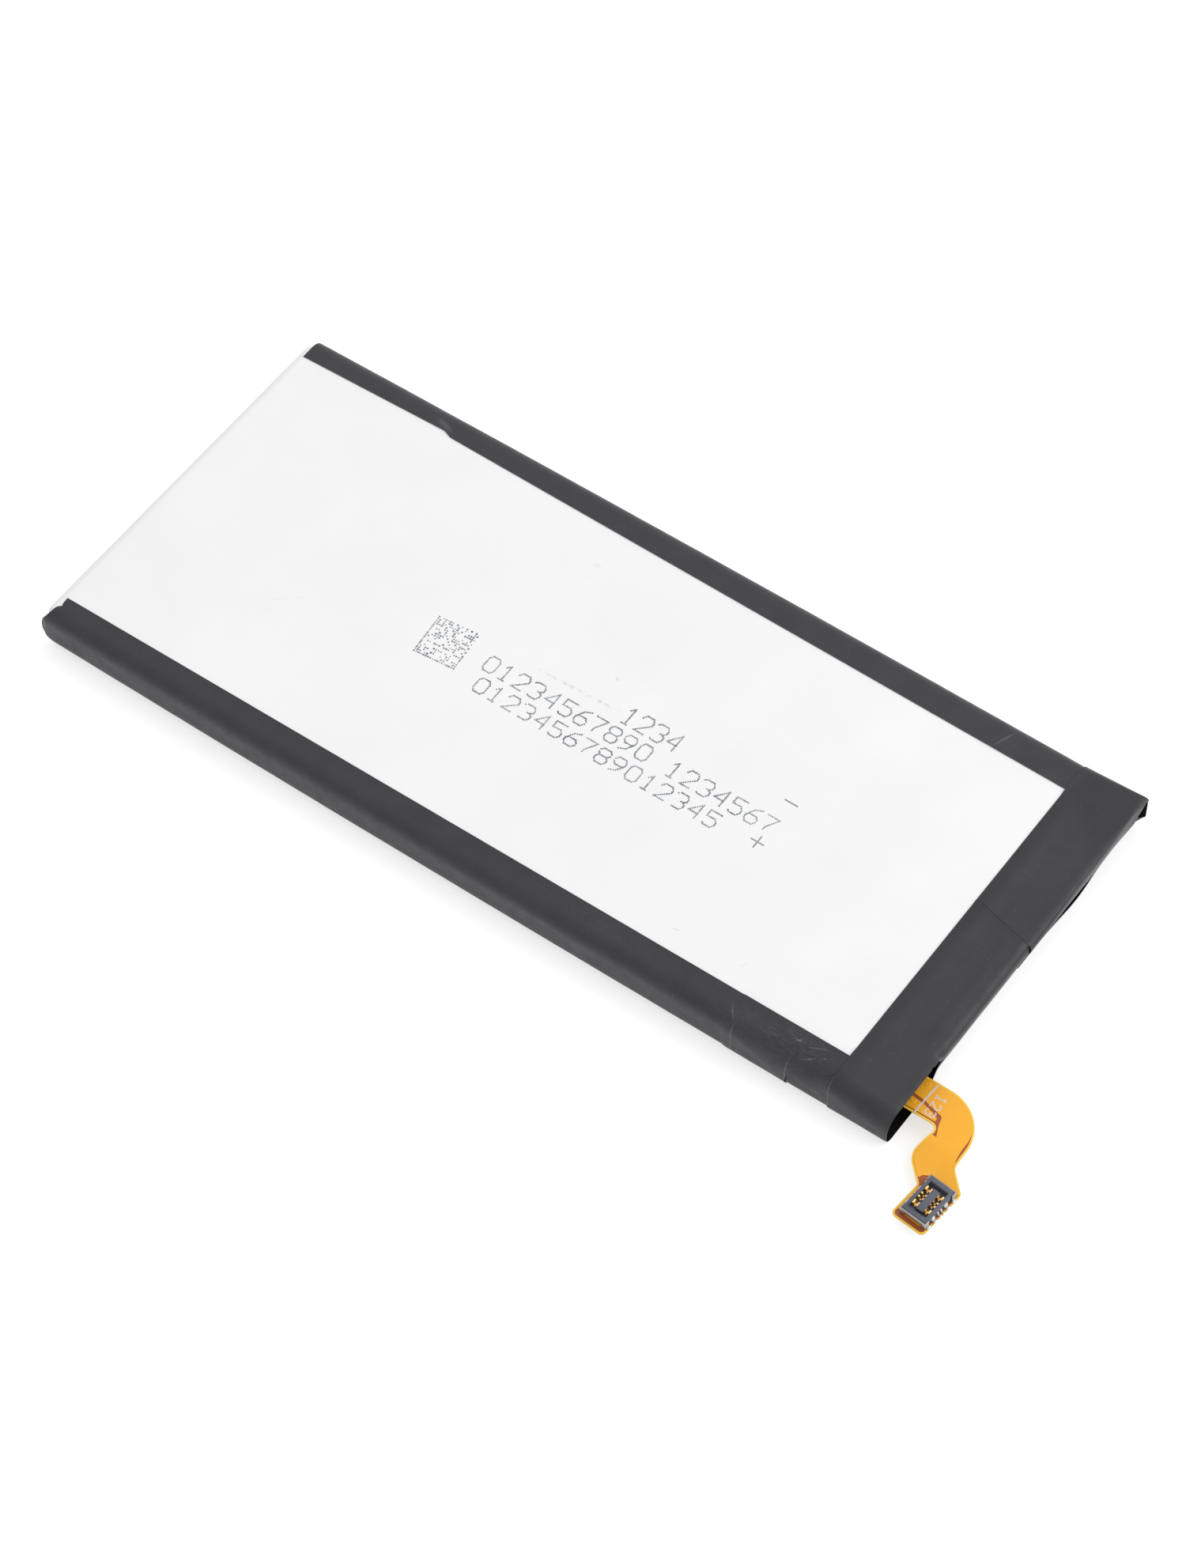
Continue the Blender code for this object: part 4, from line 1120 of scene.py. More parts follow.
class BeadForm(NodeForm):
    """Solder on points, each a softly squared mound as large as the point's own size says."""

    def __init__(self, name: str, finish: Finish) -> None:
        """Builds the tree: a rounded block on every point, sized by the attribute called bead."""
        super().__init__(name, finish)
        self.size("Turn")
        source = add(self.tree, "NodeGroupInput", {}).outputs
        inputs = {"Size": (MM, MM, MM), "Vertices X": 3, "Vertices Y": 3, "Vertices Z": 3}
        block = add(self.tree, "GeometryNodeMeshCube", inputs)
        mound = add(self.tree, "GeometryNodeSubdivisionSurface", {"Mesh": block, "Level": 1})
        smooth = add(self.tree, "GeometryNodeSetShadeSmooth", {"Geometry": mound})
        kind = {"data_type": "FLOAT_VECTOR"}
        own = add(self.tree, "GeometryNodeInputNamedAttribute", {"Name": "bead"}, **kind)
        turn = add(self.tree, "ShaderNodeCombineXYZ", {2: source["Turn"]})
        inputs = {"Points": source["Geometry"], "Instance": smooth, "Rotation": turn, "Scale": own}
        self.close(add(self.tree, "GeometryNodeInstanceOnPoints", inputs))


# The cell


@dataclass
class PouchCell:
    """The drawn white pouch, with its folded side seams and its terrace."""

    seam: float = 0.37
    seam_margin: float = 0.05
    seam_corner: float = 0.12
    seam_steps: int = 30
    side_margin: float = 1.2
    terrace_rise: float = 0.3
    terrace_thickness: float = 0.25
    corner_less: float = 0.2
    least_radius: float = 0.15
    corner_steps: int = 8
    tail_steps: int = 10
    head_steps: int = 6
    face_steps: int = 60
    station_gap: float = 0.9
    dent: float = 0.012
    dent_mm: float = 14.0

    def section(self, x: float, inset: float) -> list[Point]:
        """Closed outline of the drawn body at x, drawn in by inset."""
        half = SIZES.half_at(x) - self.seam - inset
        ring = []
        for quarter, (side, high) in enumerate(((1, True), (-1, True), (-1, False), (1, False))):
            radius = max(SIZES.edge_radius - self.corner_less - inset, self.least_radius)
            radius += SIZES.near_slack(x) if quarter == 1 else 0
            centre_y = side * (half - radius)
            centre_z = SIZES.thickness - inset - radius if high else inset + radius
            for angle in spread(0, math.pi / 2, self.corner_steps):
                around = angle + quarter * math.pi / 2
                y = centre_y + radius * math.cos(around)
                ring.append((x, y, centre_z + radius * math.sin(around)))
            if quarter in (0, 2):
                other = half - radius - (SIZES.near_slack(x) if quarter == 0 else 0)
                run = spread(ring[-1][1], -side * other, self.face_steps)[1:-1]
                ring += [(x, y, ring[-1][2]) for y in run]
        return ring

    def stations(self) -> list[Pair]:
        """X and inset of each section, from the tail to the head."""
        tail, head = -SIZES.half_length, SIZES.body_head_x
        places = []
        for angle in spread(0, math.pi / 2, self.tail_steps):
            inset = SIZES.tail_radius * (1 - math.sin(angle))
            places.append((tail + SIZES.tail_radius * (1 - math.cos(angle)), inset))
        first, last = tail + SIZES.tail_radius, head - SIZES.head_radius
        steps = round((last - first) / self.station_gap)
        places += [(x, 0.0) for x in spread(first, last, steps)[1:-1]]
        for angle in spread(math.pi / 2, 0, self.head_steps):
            inset = SIZES.head_radius * (1 - math.sin(angle))
            places.append((head - SIZES.head_radius * (1 - math.cos(angle)), inset))
        return places

    def build(self) -> list[Object]:
        """Lofts the body, and adds the seams and the terrace as closed shells beside it."""
        shape = bmesh.new()
        stations = self.stations()
        loft(shape, [[self.pressed(p) for p in self.section(x, inset)] for x, inset in stations])
        for side in Side:
            self.add_seam(shape, side)
        self.add_terrace(shape)
        obj = from_bmesh("pouch_body", shape, (POUCH,), 50.0)
        return [mount(obj, Slot.POUCH, "pouch_cell")]

    def pressed(self, point: Point) -> Point:
        """Moves a point of either flat in by its share of the press's shallow dents."""
        x, y, z = point
        top = z > SIZES.thickness - 0.01
        if not top and z > 0.01:
            return point
        depth = self.dent * (0.5 + 0.5 * noise.noise(Vector((x, y, z)) / self.dent_mm))
        return x, y, z - depth if top else z + depth

    def add_seam(self, shape: BMesh, side: Side) -> None:
        """Adds the folded seam along one long side."""
        low = SIZES.edge_radius + self.seam_margin
        high = SIZES.thickness - low
        ends = (SIZES.tail_radius - SIZES.half_length, SIZES.body_head_x - SIZES.head_radius)
        cut, round_off = self.seam_corner, self.seam_corner * side.value
        rings = []
        for x in spread(*ends, self.seam_steps):
            inner = side.value * (SIZES.half_at(x) - 2 * self.seam)
            outer = side.value * SIZES.half_at(x)
            crest = high - (SIZES.near_slack(x) if side is Side.NEAR else 0)
            plan = (
                (inner, low), (outer - round_off, low), (outer, low + cut),
                (outer, crest - cut), (outer - round_off, crest), (inner, crest),
            )
            rings.append([(x, y, z) for y, z in plan])
        loft(shape, rings)

    def add_terrace(self, shape: BMesh) -> None:
        """Adds the sealed terrace that carries the tabs."""
        start, end = SIZES.body_head_x - SIZES.head_radius, SIZES.half_length
        width = SIZES.end_half - self.side_margin
        top = self.terrace_rise + self.terrace_thickness
        made = bmesh.ops.create_cube(shape, size=1.0)["verts"]
        for vert in made:
            vert.co.x = start if vert.co.x < 0 else end
            vert.co.y = width * (1 if vert.co.y > 0 else -1)
            vert.co.z = top if vert.co.z > 0 else self.terrace_rise


# The tapes


@dataclass
class EdgeTape:
    """Tape wrapped round one long edge, from its cut edge on the face to the back."""

    side: Side
    flat_steps: int = 7
    arc_steps: int = 8
    wall_steps: int = 6
    under_steps: int = 6
    columns: tuple[tuple[float, int], ...] = (
        (0.02, 8), (0.17, 12), (0.22, 20), (0.8, 46), (1.0, 70),
    )

    def path(self, x: float, offset: float, edge_y: float) -> list[Pair]:
        """YZ places round the edge at x, at an offset from the cell."""
        side = self.side.value
        half = SIZES.half_at(x) + offset
        slack = SIZES.near_slack(x) if self.side is Side.NEAR else 0.0
        radius, upper = SIZES.edge_radius + offset, SIZES.edge_radius + offset + slack
        centre, high = half - upper, SIZES.thickness - SIZES.edge_radius - slack
        top, back = SIZES.thickness + offset, -offset
        places = [(y, top) for y in spread(edge_y, side * centre, self.flat_steps)[:-1]]
        for angle in spread(0, math.pi / 2, self.arc_steps):
            y = side * (centre + upper * math.sin(angle))
            places.append((y, high + upper * math.cos(angle)))
        wall = spread(high, SIZES.edge_radius, self.wall_steps)[1:-1]
        places += [(side * half, z) for z in wall]
        centre = half - radius
        for angle in spread(0, math.pi / 2, self.arc_steps):
            y = side * (centre + radius * math.cos(angle))
            places.append((y, SIZES.edge_radius - radius * math.sin(angle)))
        under = spread(centre, half - SIZES.under_lip, self.under_steps)[1:]
        return places + [(side * y, back) for y in under]

    def grid(
        self,
        start: Callable[[float], float],
        end: Callable[[float], float],
        offset: Callable[[float], float],
        edge_y: Callable[[float], float],
    ) -> np.ndarray:
        """Lays out the tape's outer face.

        Args:
            start: X of the tail end, by the distance from the cut edge round the path.
            end: X of the head end, by the same distance.
            offset: Offset from the cell at x.
            edge_y: Y of the cut edge at x.

        Returns:
            Rows of points, one row for each place round the path.
        """
        middle = np.array(self.path(0.0, SIZES.layer, edge_y(0.0)))
        gaps = np.linalg.norm(np.diff(middle, axis=0), axis=1)
        round_path = np.concatenate(([0.0], np.cumsum(gaps)))
        shares = [0.0]
        for share, steps in self.columns:
            shares += spread(shares[-1], share, steps)[1:]
        rows = []
        for row, distance in enumerate(round_path):
            line = []
            first, last = start(distance), end(distance)
            for share in shares:
                x = first + (last - first) * share
                y, z = self.path(x, offset(x), edge_y(x))[row]
                line.append((x, y, z))
            rows.append(line)
        return np.array(rows)


@dataclass
class SideTapes:
    """The two long edge tapes, and the short wrap under the near one's head end."""

    near_lip: float = 3.0
    near_drift: float = 0.57
    far_tail_lip: float = 2.87
    far_lip: float = 2.76
    far_drift: float = 0.86
    far_step: float = 0.33
    far_step_from_tail: float = 16.9
    far_step_run: float = 1.1
    far_tail_margin: float = 1.0
    near_overhang: float = 0.24
    pinch: float = 0.25
    inside: Point = (0.0, 0.0, 2.2)
    wrap_inside: Point = (35.0, 0.0, 2.2)
    wrap_middle_x: float = 38.0
    wrap_length: float = 10.7
    wrap_step_lead: float = 0.6
    wrap_step_run: float = 0.5
    lap: float = 0.55
    near_tail: Plan = (
        (0.0, 1.45), (0.9, 1.5), (1.3, 1.62), (1.7, 1.3), (2.4, 1.1), (3.0, 0.8), (3.6, 0.42),
        (4.2, 0.14), (4.8, 0.0), (5.5, 0.0), (6.2, 0.3), (7.0, 0.8), (8.0, 1.0), (9.5, 1.1),
    )
    near_head: Plan = (
        (0.0, 4.07), (2.2, 4.07), (2.65, 3.5), (3.3, 0.9), (3.7, 0.2), (4.4, 0.0), (6.0, -0.1),
        (9.5, -0.1),
    )
    near_head_from_lip: float = 4.65

    @property
    def lap_x(self) -> float:
        """Where the side tapes end under the head tapes."""
        return SIZES.lip_x + self.lap

    @property
    def wrap_x(self) -> float:
        """Tail end of the short wrap."""
        return self.lap_x - self.wrap_length

    def near_edge(self, x: float) -> float:
        """Y of the near tape's cut edge on the face."""
        return self.near_lip - SIZES.half_width + self.near_drift * x / (2 * SIZES.half_length)

    def far_edge(self, x: float) -> float:
        """Y of the far tape's cut edge on the face, which steps in near the tail."""
        from_step = x + SIZES.half_length - self.far_step_from_tail
        if from_step < 0:
            growth = self.far_lip - self.far_step - self.far_tail_lip
            share = 1 + from_step / self.far_step_from_tail
            return SIZES.half_width - self.far_tail_lip - growth * share
        before = self.far_step * (1 - ramp(from_step, (0.0, self.far_step_run)))
        run = 2 * SIZES.half_length - self.far_step_from_tail
        return SIZES.half_width - self.far_lip + before - self.far_drift * from_step / run

    def build(self) -> list[Object]:
        """Makes the three tapes."""
        return [self.near_tape(), self.far_tape(), self.short_wrap()]

    def pinched(self, x: float) -> float:
        """How far a tape's tail end follows the cell's own rounding inwards at x."""
        left = 1 - part(x, (-SIZES.half_length, SIZES.tail_radius))
        return self.pinch * SIZES.tail_radius * (1 - math.sqrt(1 - left**2))

    def near_tape(self) -> Object:
        """The near tape, with a step over the short wrap and a slanted, lifted head end."""
        tail = -SIZES.half_length - self.near_overhang
        rise = self.wrap_x - self.wrap_step_lead
        head = self.lap_x - self.near_head_from_lip

        def offset(x: float) -> float:
            """Offset from the cell at x, a layer more where it climbs over the short wrap."""
            return SIZES.layer * (1 + ramp(x, (rise, self.wrap_step_run))) - self.pinched(x)

        def along(ends: Plan, distance: float) -> float:
            """How far an end stands out at a distance from the cut edge."""
            return float(np.interp(distance, *zip(*ends)))

        grid = EdgeTape(Side.NEAR).grid(
            lambda d: tail + along(self.near_tail, d),
            lambda d: head + along(self.near_head, d),
            offset,
            self.near_edge,
        )
        wall_y = -SIZES.half_at(head) - 2 * SIZES.layer
        creases = (
            Crease((rise - 0.1, -18.0, 4.5), (rise + 1.0, -19.4, 4.2), 0.03, 0.16),
            Crease((rise + 1.05, -19.7, 3.9), (rise + 1.15, wall_y, 1.0), 0.045, 0.16),
            Crease((head + 0.1, wall_y + 0.3, 3.9), (head - 0.1, wall_y, 0.9), 0.08, 0.2),
            Crease((31.8, wall_y, 3.2), (head - 0.6, wall_y, 1.5), 0.06, 0.6),
            Crease((6.0, wall_y + 0.3, 3.9), (16.0, wall_y, 3.3), 0.03, 0.7),
            Crease((-20.0, wall_y + 0.2, 3.8), (-6.0, wall_y + 0.1, 3.5), -0.03, 0.6),
        )
        waves = {"ripple": 0.014, "ripple_mm": 3.2, "seed": 3.0}
        names = ("near_edge_tape", "near_side_tape")
        return Sheet(*names, SCUFFED_TAPE, self.inside, creases, **waves).build(grid)

    def far_tape(self) -> Object:
        """The far tape, with its step and the crossing crease near the head."""
        tail = -SIZES.half_length + self.far_tail_margin
        grid = EdgeTape(Side.FAR).grid(
            lambda d: tail,
            lambda d: self.lap_x,
            lambda x: SIZES.layer - self.pinched(x),
            self.far_edge,
        )
        creases = (
            Crease((32.9, 16.4, 4.48), (33.8, 19.0, 4.4), 0.05, 0.16),
            Crease((-28.9, 18.3, 4.48), (-26.9, 17.3, 4.48), 0.04, 0.45),
            Crease((6.0, 17.2, 4.48), (6.9, 19.0, 4.4), 0.015, 0.2),
        )
        waves = {"ripple": 0.012, "ripple_mm": 3.0, "seed": 11.0}
        names = ("far_edge_tape", "far_side_tape")
        return Sheet(*names, FADED_TAPE, self.inside, creases, **waves).build(grid)

    def short_wrap(self) -> Object:
        """The short wrap, which shows between the near tape's end and the head tape."""
        grid = EdgeTape(Side.NEAR, columns=((1.0, 54),)).grid(
            lambda d: self.wrap_x, lambda d: self.lap_x, lambda x: SIZES.layer, self.near_edge
        )
        wall_y = -SIZES.half_at(self.wrap_middle_x) - SIZES.layer
        creases = (
            Crease((37.0, -18.9, 4.4), (39.9, -17.6, 4.56), 0.035, 0.14),
            Crease((37.4, -17.9, 4.5), (39.0, -17.2, 4.56), 0.025, 0.12),
            Crease((37.2, wall_y, 2.6), (39.8, wall_y, 2.1), 0.04, 0.4),
        )
        waves = {"ripple": 0.012, "ripple_mm": 2.0, "seed": 21.0}
        names = ("corner_edge_wrap", "corner_wrap")
        return Sheet(*names, SCUFFED_TAPE, self.wrap_inside, creases, **waves).build(grid)


Steps = tuple[Pair, ...]


@dataclass
class Margins:
    """Outer margins of the head tapes, each as steps out and up from the shoulder.

    The far tape's margin rolls under past upright, but for its open tip at the corner, and leaves
    a dark sliver over the lower one, where its glue side shows, painted near black as shade.
    """

    lapped_top: Steps = ((0.5, -0.1), (0.88, -0.4), (0.9, -1.2), (0.5, -2.15))
    lapped_under: Steps = ((0.5, 0.12), (0.8, 0.4), (1.0, 0.9), (1.1, 1.5))
    open_top: Steps = ((0.25, -0.04), (0.5, -0.08), (0.74, -0.13), (0.98, -0.2))
    open_under: Steps = ((0.35, 0.0), (0.7, 0.0), (1.05, 0.0), (1.36, 0.04))
    rim_top: Steps = ((0.55, -0.08), (1.02, -0.26), (1.14, -0.6), (0.86, -1.6))
    rim_under: Steps = ((0.45, 0.02), (0.75, 0.2), (0.95, 0.55), (1.06, 1.05))
    corner_top: Steps = ((0.6, -0.02), (1.18, -0.08), (1.44, -0.36), (1.2, -1.3))
    corner_tip: Steps = ((0.45, 0.0), (0.85, -0.03), (1.16, -0.1), (1.34, -0.24))
    corner_under: Steps = ((0.45, 0.06), (0.76, 0.25), (0.92, 0.6), (1.0, 1.1))
    sliver: float = 0.3
    mouth_from_side: float = 8.7
    tear: float = 1.5
    under_tear: float = 3.0
    tear_depth: float = 0.08
    nick: float = 0.15
    nick_y: float = -13.1
    nick_width: float = 0.1
    corner_cut: float = 0.05
    ragged_beat: float = 2.7
    sliver_span: Span = (3.5, 11.5)
    under_corner_span: Span = (13.0, 6.0)
    top_corner_span: Span = (13.5, 4.5)
    tip_span: Span = (17.0, 2.2)
    cut_span: Span = (17.6, 1.8)

    @property
    def mouth_y(self) -> float:
        """Far end of the open mouth."""
        return self.mouth_from_side - SIZES.end_half

    def blend(self, first: Steps, second: Steps, share: float) -> np.ndarray:
        """Mixes two margins."""
        return np.array(first) * (1 - share) + np.array(second) * share

    def near(self, y: float, under: bool) -> np.ndarray:
        """The near tape's margin at y: lapped over the head, then open at the mouth."""
        tear = self.under_tear if under else self.tear
        lapped = ramp(y, (self.mouth_y - tear, tear))
        if under:
            return self.blend(self.open_under, self.lapped_under, lapped)
        steps = self.blend(self.open_top, self.lapped_top, lapped)
        spot = Vector((self.ragged_beat * y, 0.5, 0.0))
        ragged = noise.noise(spot) * lapped * (1 - lapped) * 4
        nick = self.nick * math.exp(-(((y - self.nick_y) / self.nick_width) ** 2))
        steps[:, 0] += (self.tear_depth * ragged - nick) * np.linspace(0, 1, len(steps)) ** 2
        return steps

    def far(self, y: float, under: bool) -> np.ndarray:
        """The far tape's margin at y: a plain rim, then flared towards the corner."""
        if under:
            at_corner = ramp(y, self.under_corner_span)
            steps = self.blend(self.rim_under, self.corner_under, at_corner)
            open_share = math.sin(math.pi * part(y, self.sliver_span)) ** 2
            steps[:, 0] += self.sliver * open_share * np.linspace(0, 1, len(steps))
            return steps
        steps = self.blend(self.rim_top, self.corner_top, ramp(y, self.top_corner_span))
        steps = self.blend(steps, self.corner_tip, ramp(y, self.tip_span))
        steps[:, 0] -= self.corner_cut * ramp(y, self.cut_span) * np.linspace(0, 1, len(steps))
        return steps


@dataclass
class HeadTape:
    """One head tape: across the top, round one long side and back underneath."""

    side: Side
    margin: Callable[[float, bool], np.ndarray]
    sleeve_radius: float
    wing: float = 0.0
    lift: float = 0.0
    lift_span: Span = (11.5, 7.5)
    slope_steps: int = 3
    rise_left: float = 0.3
    rise_margin: float = 3.6
    rise_run: float = 0.5
    seam_centre: float = 2.4
    seam_drift: float = -0.75
    seam_gap: float = 0.05
    seam_side: float = 1.5
    under_seam_y: float = 1.0
    least_wall: float = 0.02
    columns: int = 30
    row_gap: float = 0.4
    fine_gap: float = 0.13
    fine_from: float = -14.4
    fine_to: float = -11.0
    arc_steps: int = 9

    def profile(self, y: float, under: bool) -> np.ndarray:
        """XZ places of the outer face across the tape at y, on the top or underneath."""
        lip, layer = SIZES.lip_x, SIZES.layer
        flat_end = lip + SIZES.lip_flat
        if under:
            shoulder = (SIZES.shoulder_x - SIZES.under_set_back, -2 * layer)
            inner = [(lip, -2 * layer), (flat_end, -2 * layer)]
        else:
            shoulder = (SIZES.shoulder_x, SIZES.shoulder_z)
            top = SIZES.thickness + layer
            raised = ease((abs(y) - SIZES.end_half + self.rise_margin + self.rise_run) / self.rise_run)
            raised *= layer
            inner = [(lip, top + raised), (flat_end, top + self.rise_left * raised)]
        rise = 0.0 if under else self.lift * ramp(y, self.lift_span)
        xs = spread(flat_end, shoulder[0], self.slope_steps)[1:]
        zs = spread(inner[-1][1], shoulder[1] + rise, self.slope_steps)[1:]
        steps = self.margin(y, under)
        outer = [(shoulder[0] + out, shoulder[1] + up + rise) for out, up in steps]
        return through([*inner, *zip(xs, zs), *outer], self.columns)

    def seam_y(self, x: float) -> float:
        """Y of the seam between the two head tapes at x."""
        run = SIZES.shoulder_x - SIZES.lip_x
        return self.seam_centre + self.seam_drift * (x - SIZES.lip_x) / run

    def bend(self) -> list[list[Point]]:
        """Rows round the long side, between the top and the back."""
        side, edge_y = self.side.value, self.side.value * SIZES.end_half
        top, back = self.profile(edge_y, False), self.profile(edge_y, True)
        slack = SIZES.near_slack(SIZES.lip_x) if self.side is Side.NEAR else 0.0
        small = SIZES.edge_radius + 2 * SIZES.layer + slack
        angles = spread(0, math.pi / 2, self.arc_steps)
        places = [(lower, angle) for lower in (False, True) for angle in angles]
        rows = []
        for number, (lower, angle) in enumerate(places):
            share = number / (len(places) - 1)
            row = []
            for (top_x, top_z), (back_x, back_z) in zip(top, back):
                grown = (top_x - SIZES.lip_x) / (top[-1][0] - SIZES.lip_x)
                radius = small + (self.sleeve_radius - small) * grown
                radius = min(radius, (top_z - back_z) / 2 - self.least_wall)
                if lower:
                    radius = min(radius, SIZES.edge_radius + 2 * SIZES.layer)
                outermost = SIZES.half_at(min(top_x, SIZES.half_length)) + 2 * SIZES.layer
                centre = outermost - radius
                if lower:
                    y = centre + radius * math.cos(angle)
                    z = back_z + radius * (1 - math.sin(angle))
                else:
                    y = centre + radius * math.sin(angle)
                    z = top_z - radius * (1 - math.cos(angle))
                wing = self.wing * grown**3 * 4 * share * (1 - share)
                row.append((top_x + (back_x - top_x) * share + wing, side * y, z))
            rows.append(row)
        return rows

    def grid(self) -> np.ndarray:
        """Lays out the outer face, from the seam on the top round to the seam underneath."""
        side = self.side.value
        first = self.seam_centre + side * self.seam_side
        last = side * (SIZES.end_half - max(self.sleeve_radius, SIZES.edge_radius + 0.3))
        across = self.profile(first, False)
        seam = [self.seam_y(x) + side * self.seam_gap / 2 for x, z in across]
        rows = [
            [(x, s + (first - s) * share, z) for (x, z), s in zip(across, seam)]
            for share in spread(0, 1, 4)[:-1]
        ]
        for y in self.stations(first, last):
            rows.append([(x, y, z) for x, z in self.profile(y, False)])
        bend = self.bend()
        flat_end, bend_start = np.array(rows[-1]), np.array(bend[0])
        rows += [flat_end + (bend_start - flat_end) * share for share in (0.2, 0.4, 0.6, 0.8)]
        rows += bend
        flat_start = np.array([(x, last, z) for x, z in self.profile(last, True)])
        bend_end = np.array(bend[-1])
        rows += [bend_end + (flat_start - bend_end) * share for share in (0.25, 0.5, 0.75)]
        for y in self.stations(last, self.under_seam_y + side * self.seam_gap / 2):
            rows.append([(x, y, z) for x, z in self.profile(y, True)])
        return np.array(rows)

    def stations(self, first: float, last: float) -> list[float]:
        """Y of each row from first to last, closer together beside the mouth's torn end."""
        way = 1 if last > first else -1
        places = [first]
        while way * (last - places[-1]) > 0:
            near_tear = self.fine_from < places[-1] + way * 0.2 < self.fine_to
            places.append(places[-1] + way * (self.fine_gap if near_tear else self.row_gap))
        return [*places[:-1], last]


@dataclass
class InnerWrap:
    """The film that closes the head under the two head tapes."""

    nose: Steps = ((0.4, -0.25), (0.55, -0.8), (0.4, -1.3), (0.2, -2.0), (0.08, -3.0), (-0.15, -3.5))
    seam_bulge: tuple[float, ...] = (0.0, 0.1, 0.1, 0.05, 0.0, 0.0)
    corner_bulge: tuple[float, ...] = (0.1, 0.2, 0.1, 0.05, 0.0, 0.0)
    end_gap: float = 1.1
    lap: float = 1.1
    floor_z: float = -0.04
    from_mouth: float = -0.5
    start_lead: float = 0.1
    seam_span: Span = (2.5, 9.5)
    corner_span: Span = (12.5, 3.5)
    rows: int = 60
    columns: int = 34

    def grid(self, mouth_y: float) -> np.ndarray:
        """Lays out the outer face in rows along Y."""
        rows = []
        top = SIZES.thickness + SIZES.layer
        slope = (SIZES.shoulder_z - top) / (SIZES.shoulder_x - SIZES.lip_x - SIZES.lip_flat)
        start = SIZES.body_head_x - self.start_lead
        for y in spread(mouth_y + self.from_mouth, SIZES.end_half - self.end_gap, self.rows):
            by_seam = math.sin(math.pi * part(y, self.seam_span))
            at_corner = ramp(y, self.corner_span)
            line = []
            for x in spread(start, SIZES.shoulder_x, 2):
                line.append((x, SIZES.shoulder_z + slope * (x - SIZES.shoulder_x) - 2 * SIZES.layer))
            for (out, up), by, at in zip(self.nose, self.seam_bulge, self.corner_bulge):
                x = SIZES.shoulder_x + out + by * by_seam + at * at_corner
                line.append((x, SIZES.shoulder_z + up))
            back_x = SIZES.shoulder_x - SIZES.under_set_back - SIZES.layer
            line += [(back_x, self.floor_z), (SIZES.body_head_x + self.lap, self.floor_z)]
            curve = through(line, self.columns)
            rows.append([(x, y, max(z, self.floor_z)) for x, z in curve])
        return np.array(rows)


@dataclass
class HeadWrap:
    """The two head tapes and the film under them."""

    margins: Margins = field(default_factory=Margins)

    def build(self) -> list[Object]:
        """Makes the three pieces."""
        margins = self.margins
        middle = (SIZES.lip_x + 2, 0.0, SIZES.thickness / 2)
        near_creases = (
            Crease((40.3, 2.4, 4.5), (46.2, 1.6, 3.7), 0.04, 0.35),
            Crease((41.0, -17.2, 4.6), (45.5, -15.8, 3.9), -0.05, 0.5),
            Crease((44.6, 0.5, 3.9), (44.9, -11.5, 3.85), 0.03, 0.5),
        )
        far_creases = (
            Crease((40.3, 16.0, 4.6), (40.5, 18.2, 4.6), 0.06, 0.2),
            Crease((41.5, 17.4, 4.5), (46.0, 18.6, 4.3), -0.05, 0.5),
        )
        near = HeadTape(Side.NEAR, margins.near, 1.75).grid()
        far = HeadTape(Side.FAR, margins.far, 0.4, wing=0.3, lift=0.6).grid()
        inner = InnerWrap().grid(margins.mouth_y)
        table = (
            ("near_head_tape", "head_tape_near", BLACK_TAPE, near, near_creases, 0.012, 3.5, 5.0),
            ("far_head_tape", "head_tape_far", BLACK_TAPE, far, far_creases, 0.012, 3.5, 7.0),
            ("inner_head_wrap", "head_inner_wrap", SHADE_DARKENED_INNER_TAPE, inner, (), 0.02, 2.2, 9.0),
        )
        return [
            Sheet(name, node, finish, middle, *waves).build(grid)
            for name, node, finish, grid, *waves in table
        ]


# Protection board


@dataclass
class ProtectionBoard:
    """The small board over the terrace, with its chips, leads, tabs and insulators."""

    edge: float = 0.04
    chips: tuple[str, ...] = (
        "sense_resistor", "filter_capacitor", "bypass_capacitor", "identity_resistor",
    )

    def build(self) -> list[Object]:
        """Rounds and dresses each of the board's CAD nodes."""
        leads = ("cutoff_cell_lead", "cutoff_board_lead", "negative_weld_plate", "negative_tab")
        table = (
            (FIBREGLASS, Slot.BOARD, self.edge, ("circuit_board",)),
            (EPOXY, Slot.EPOXY, self.edge, ("mosfet_pair", "protection_ic", "thermal_cutoff")),
            (NICKEL, Slot.NICKEL, self.edge / 2, leads),
            (ALUMINIUM, Slot.ALUMINIUM, self.edge / 2, ("positive_tab",)),
            (SEALING, Slot.SEALING, self.edge / 4, ("positive_tab_film", "negative_tab_film")),
            (PAPER, Slot.PAPER, self.edge / 2, ("terrace_insulator",)),
            # The board's cover tape is black film, and also darkens the mouth's inside as painted
            # shade
            (BLACK_TAPE, Slot.TAPE, self.edge / 4, ("board_cover_tape",)),
        )
        pieces = [rounded_copy(node, *row) for *row, nodes in table for node in nodes]
        for chip in self.chips:
            low, high = node_box(chip)
            # Fired ceramic: a warm, matte brown between two bright dipped ends
            finish = CappedChip(
                f"Fired ceramic of the {chip.replace('_', ' ')}",
                "#7A6650",
                0.45,
                centre_y=(low.y + high.y) / 2,
                half_length=(high.y - low.y) / 2,
            )
            pieces.append(rounded_copy(chip, finish, Slot.CERAMIC, self.edge))
        return pieces


# Flex tail


@dataclass(frozen=True)
class Seat:
    """The connector's own turned axes: U across its rows and V along them."""

    x: float = 52.36
    y: float = -22.76
    z: float = 0.975
    turn: float = -5.3

    def at(self, u: float, v: float) -> Pair:
        """Plan point of a place on the seat."""
        return turned((self.x, self.y), (u, v), self.turn)


SEAT = Seat()


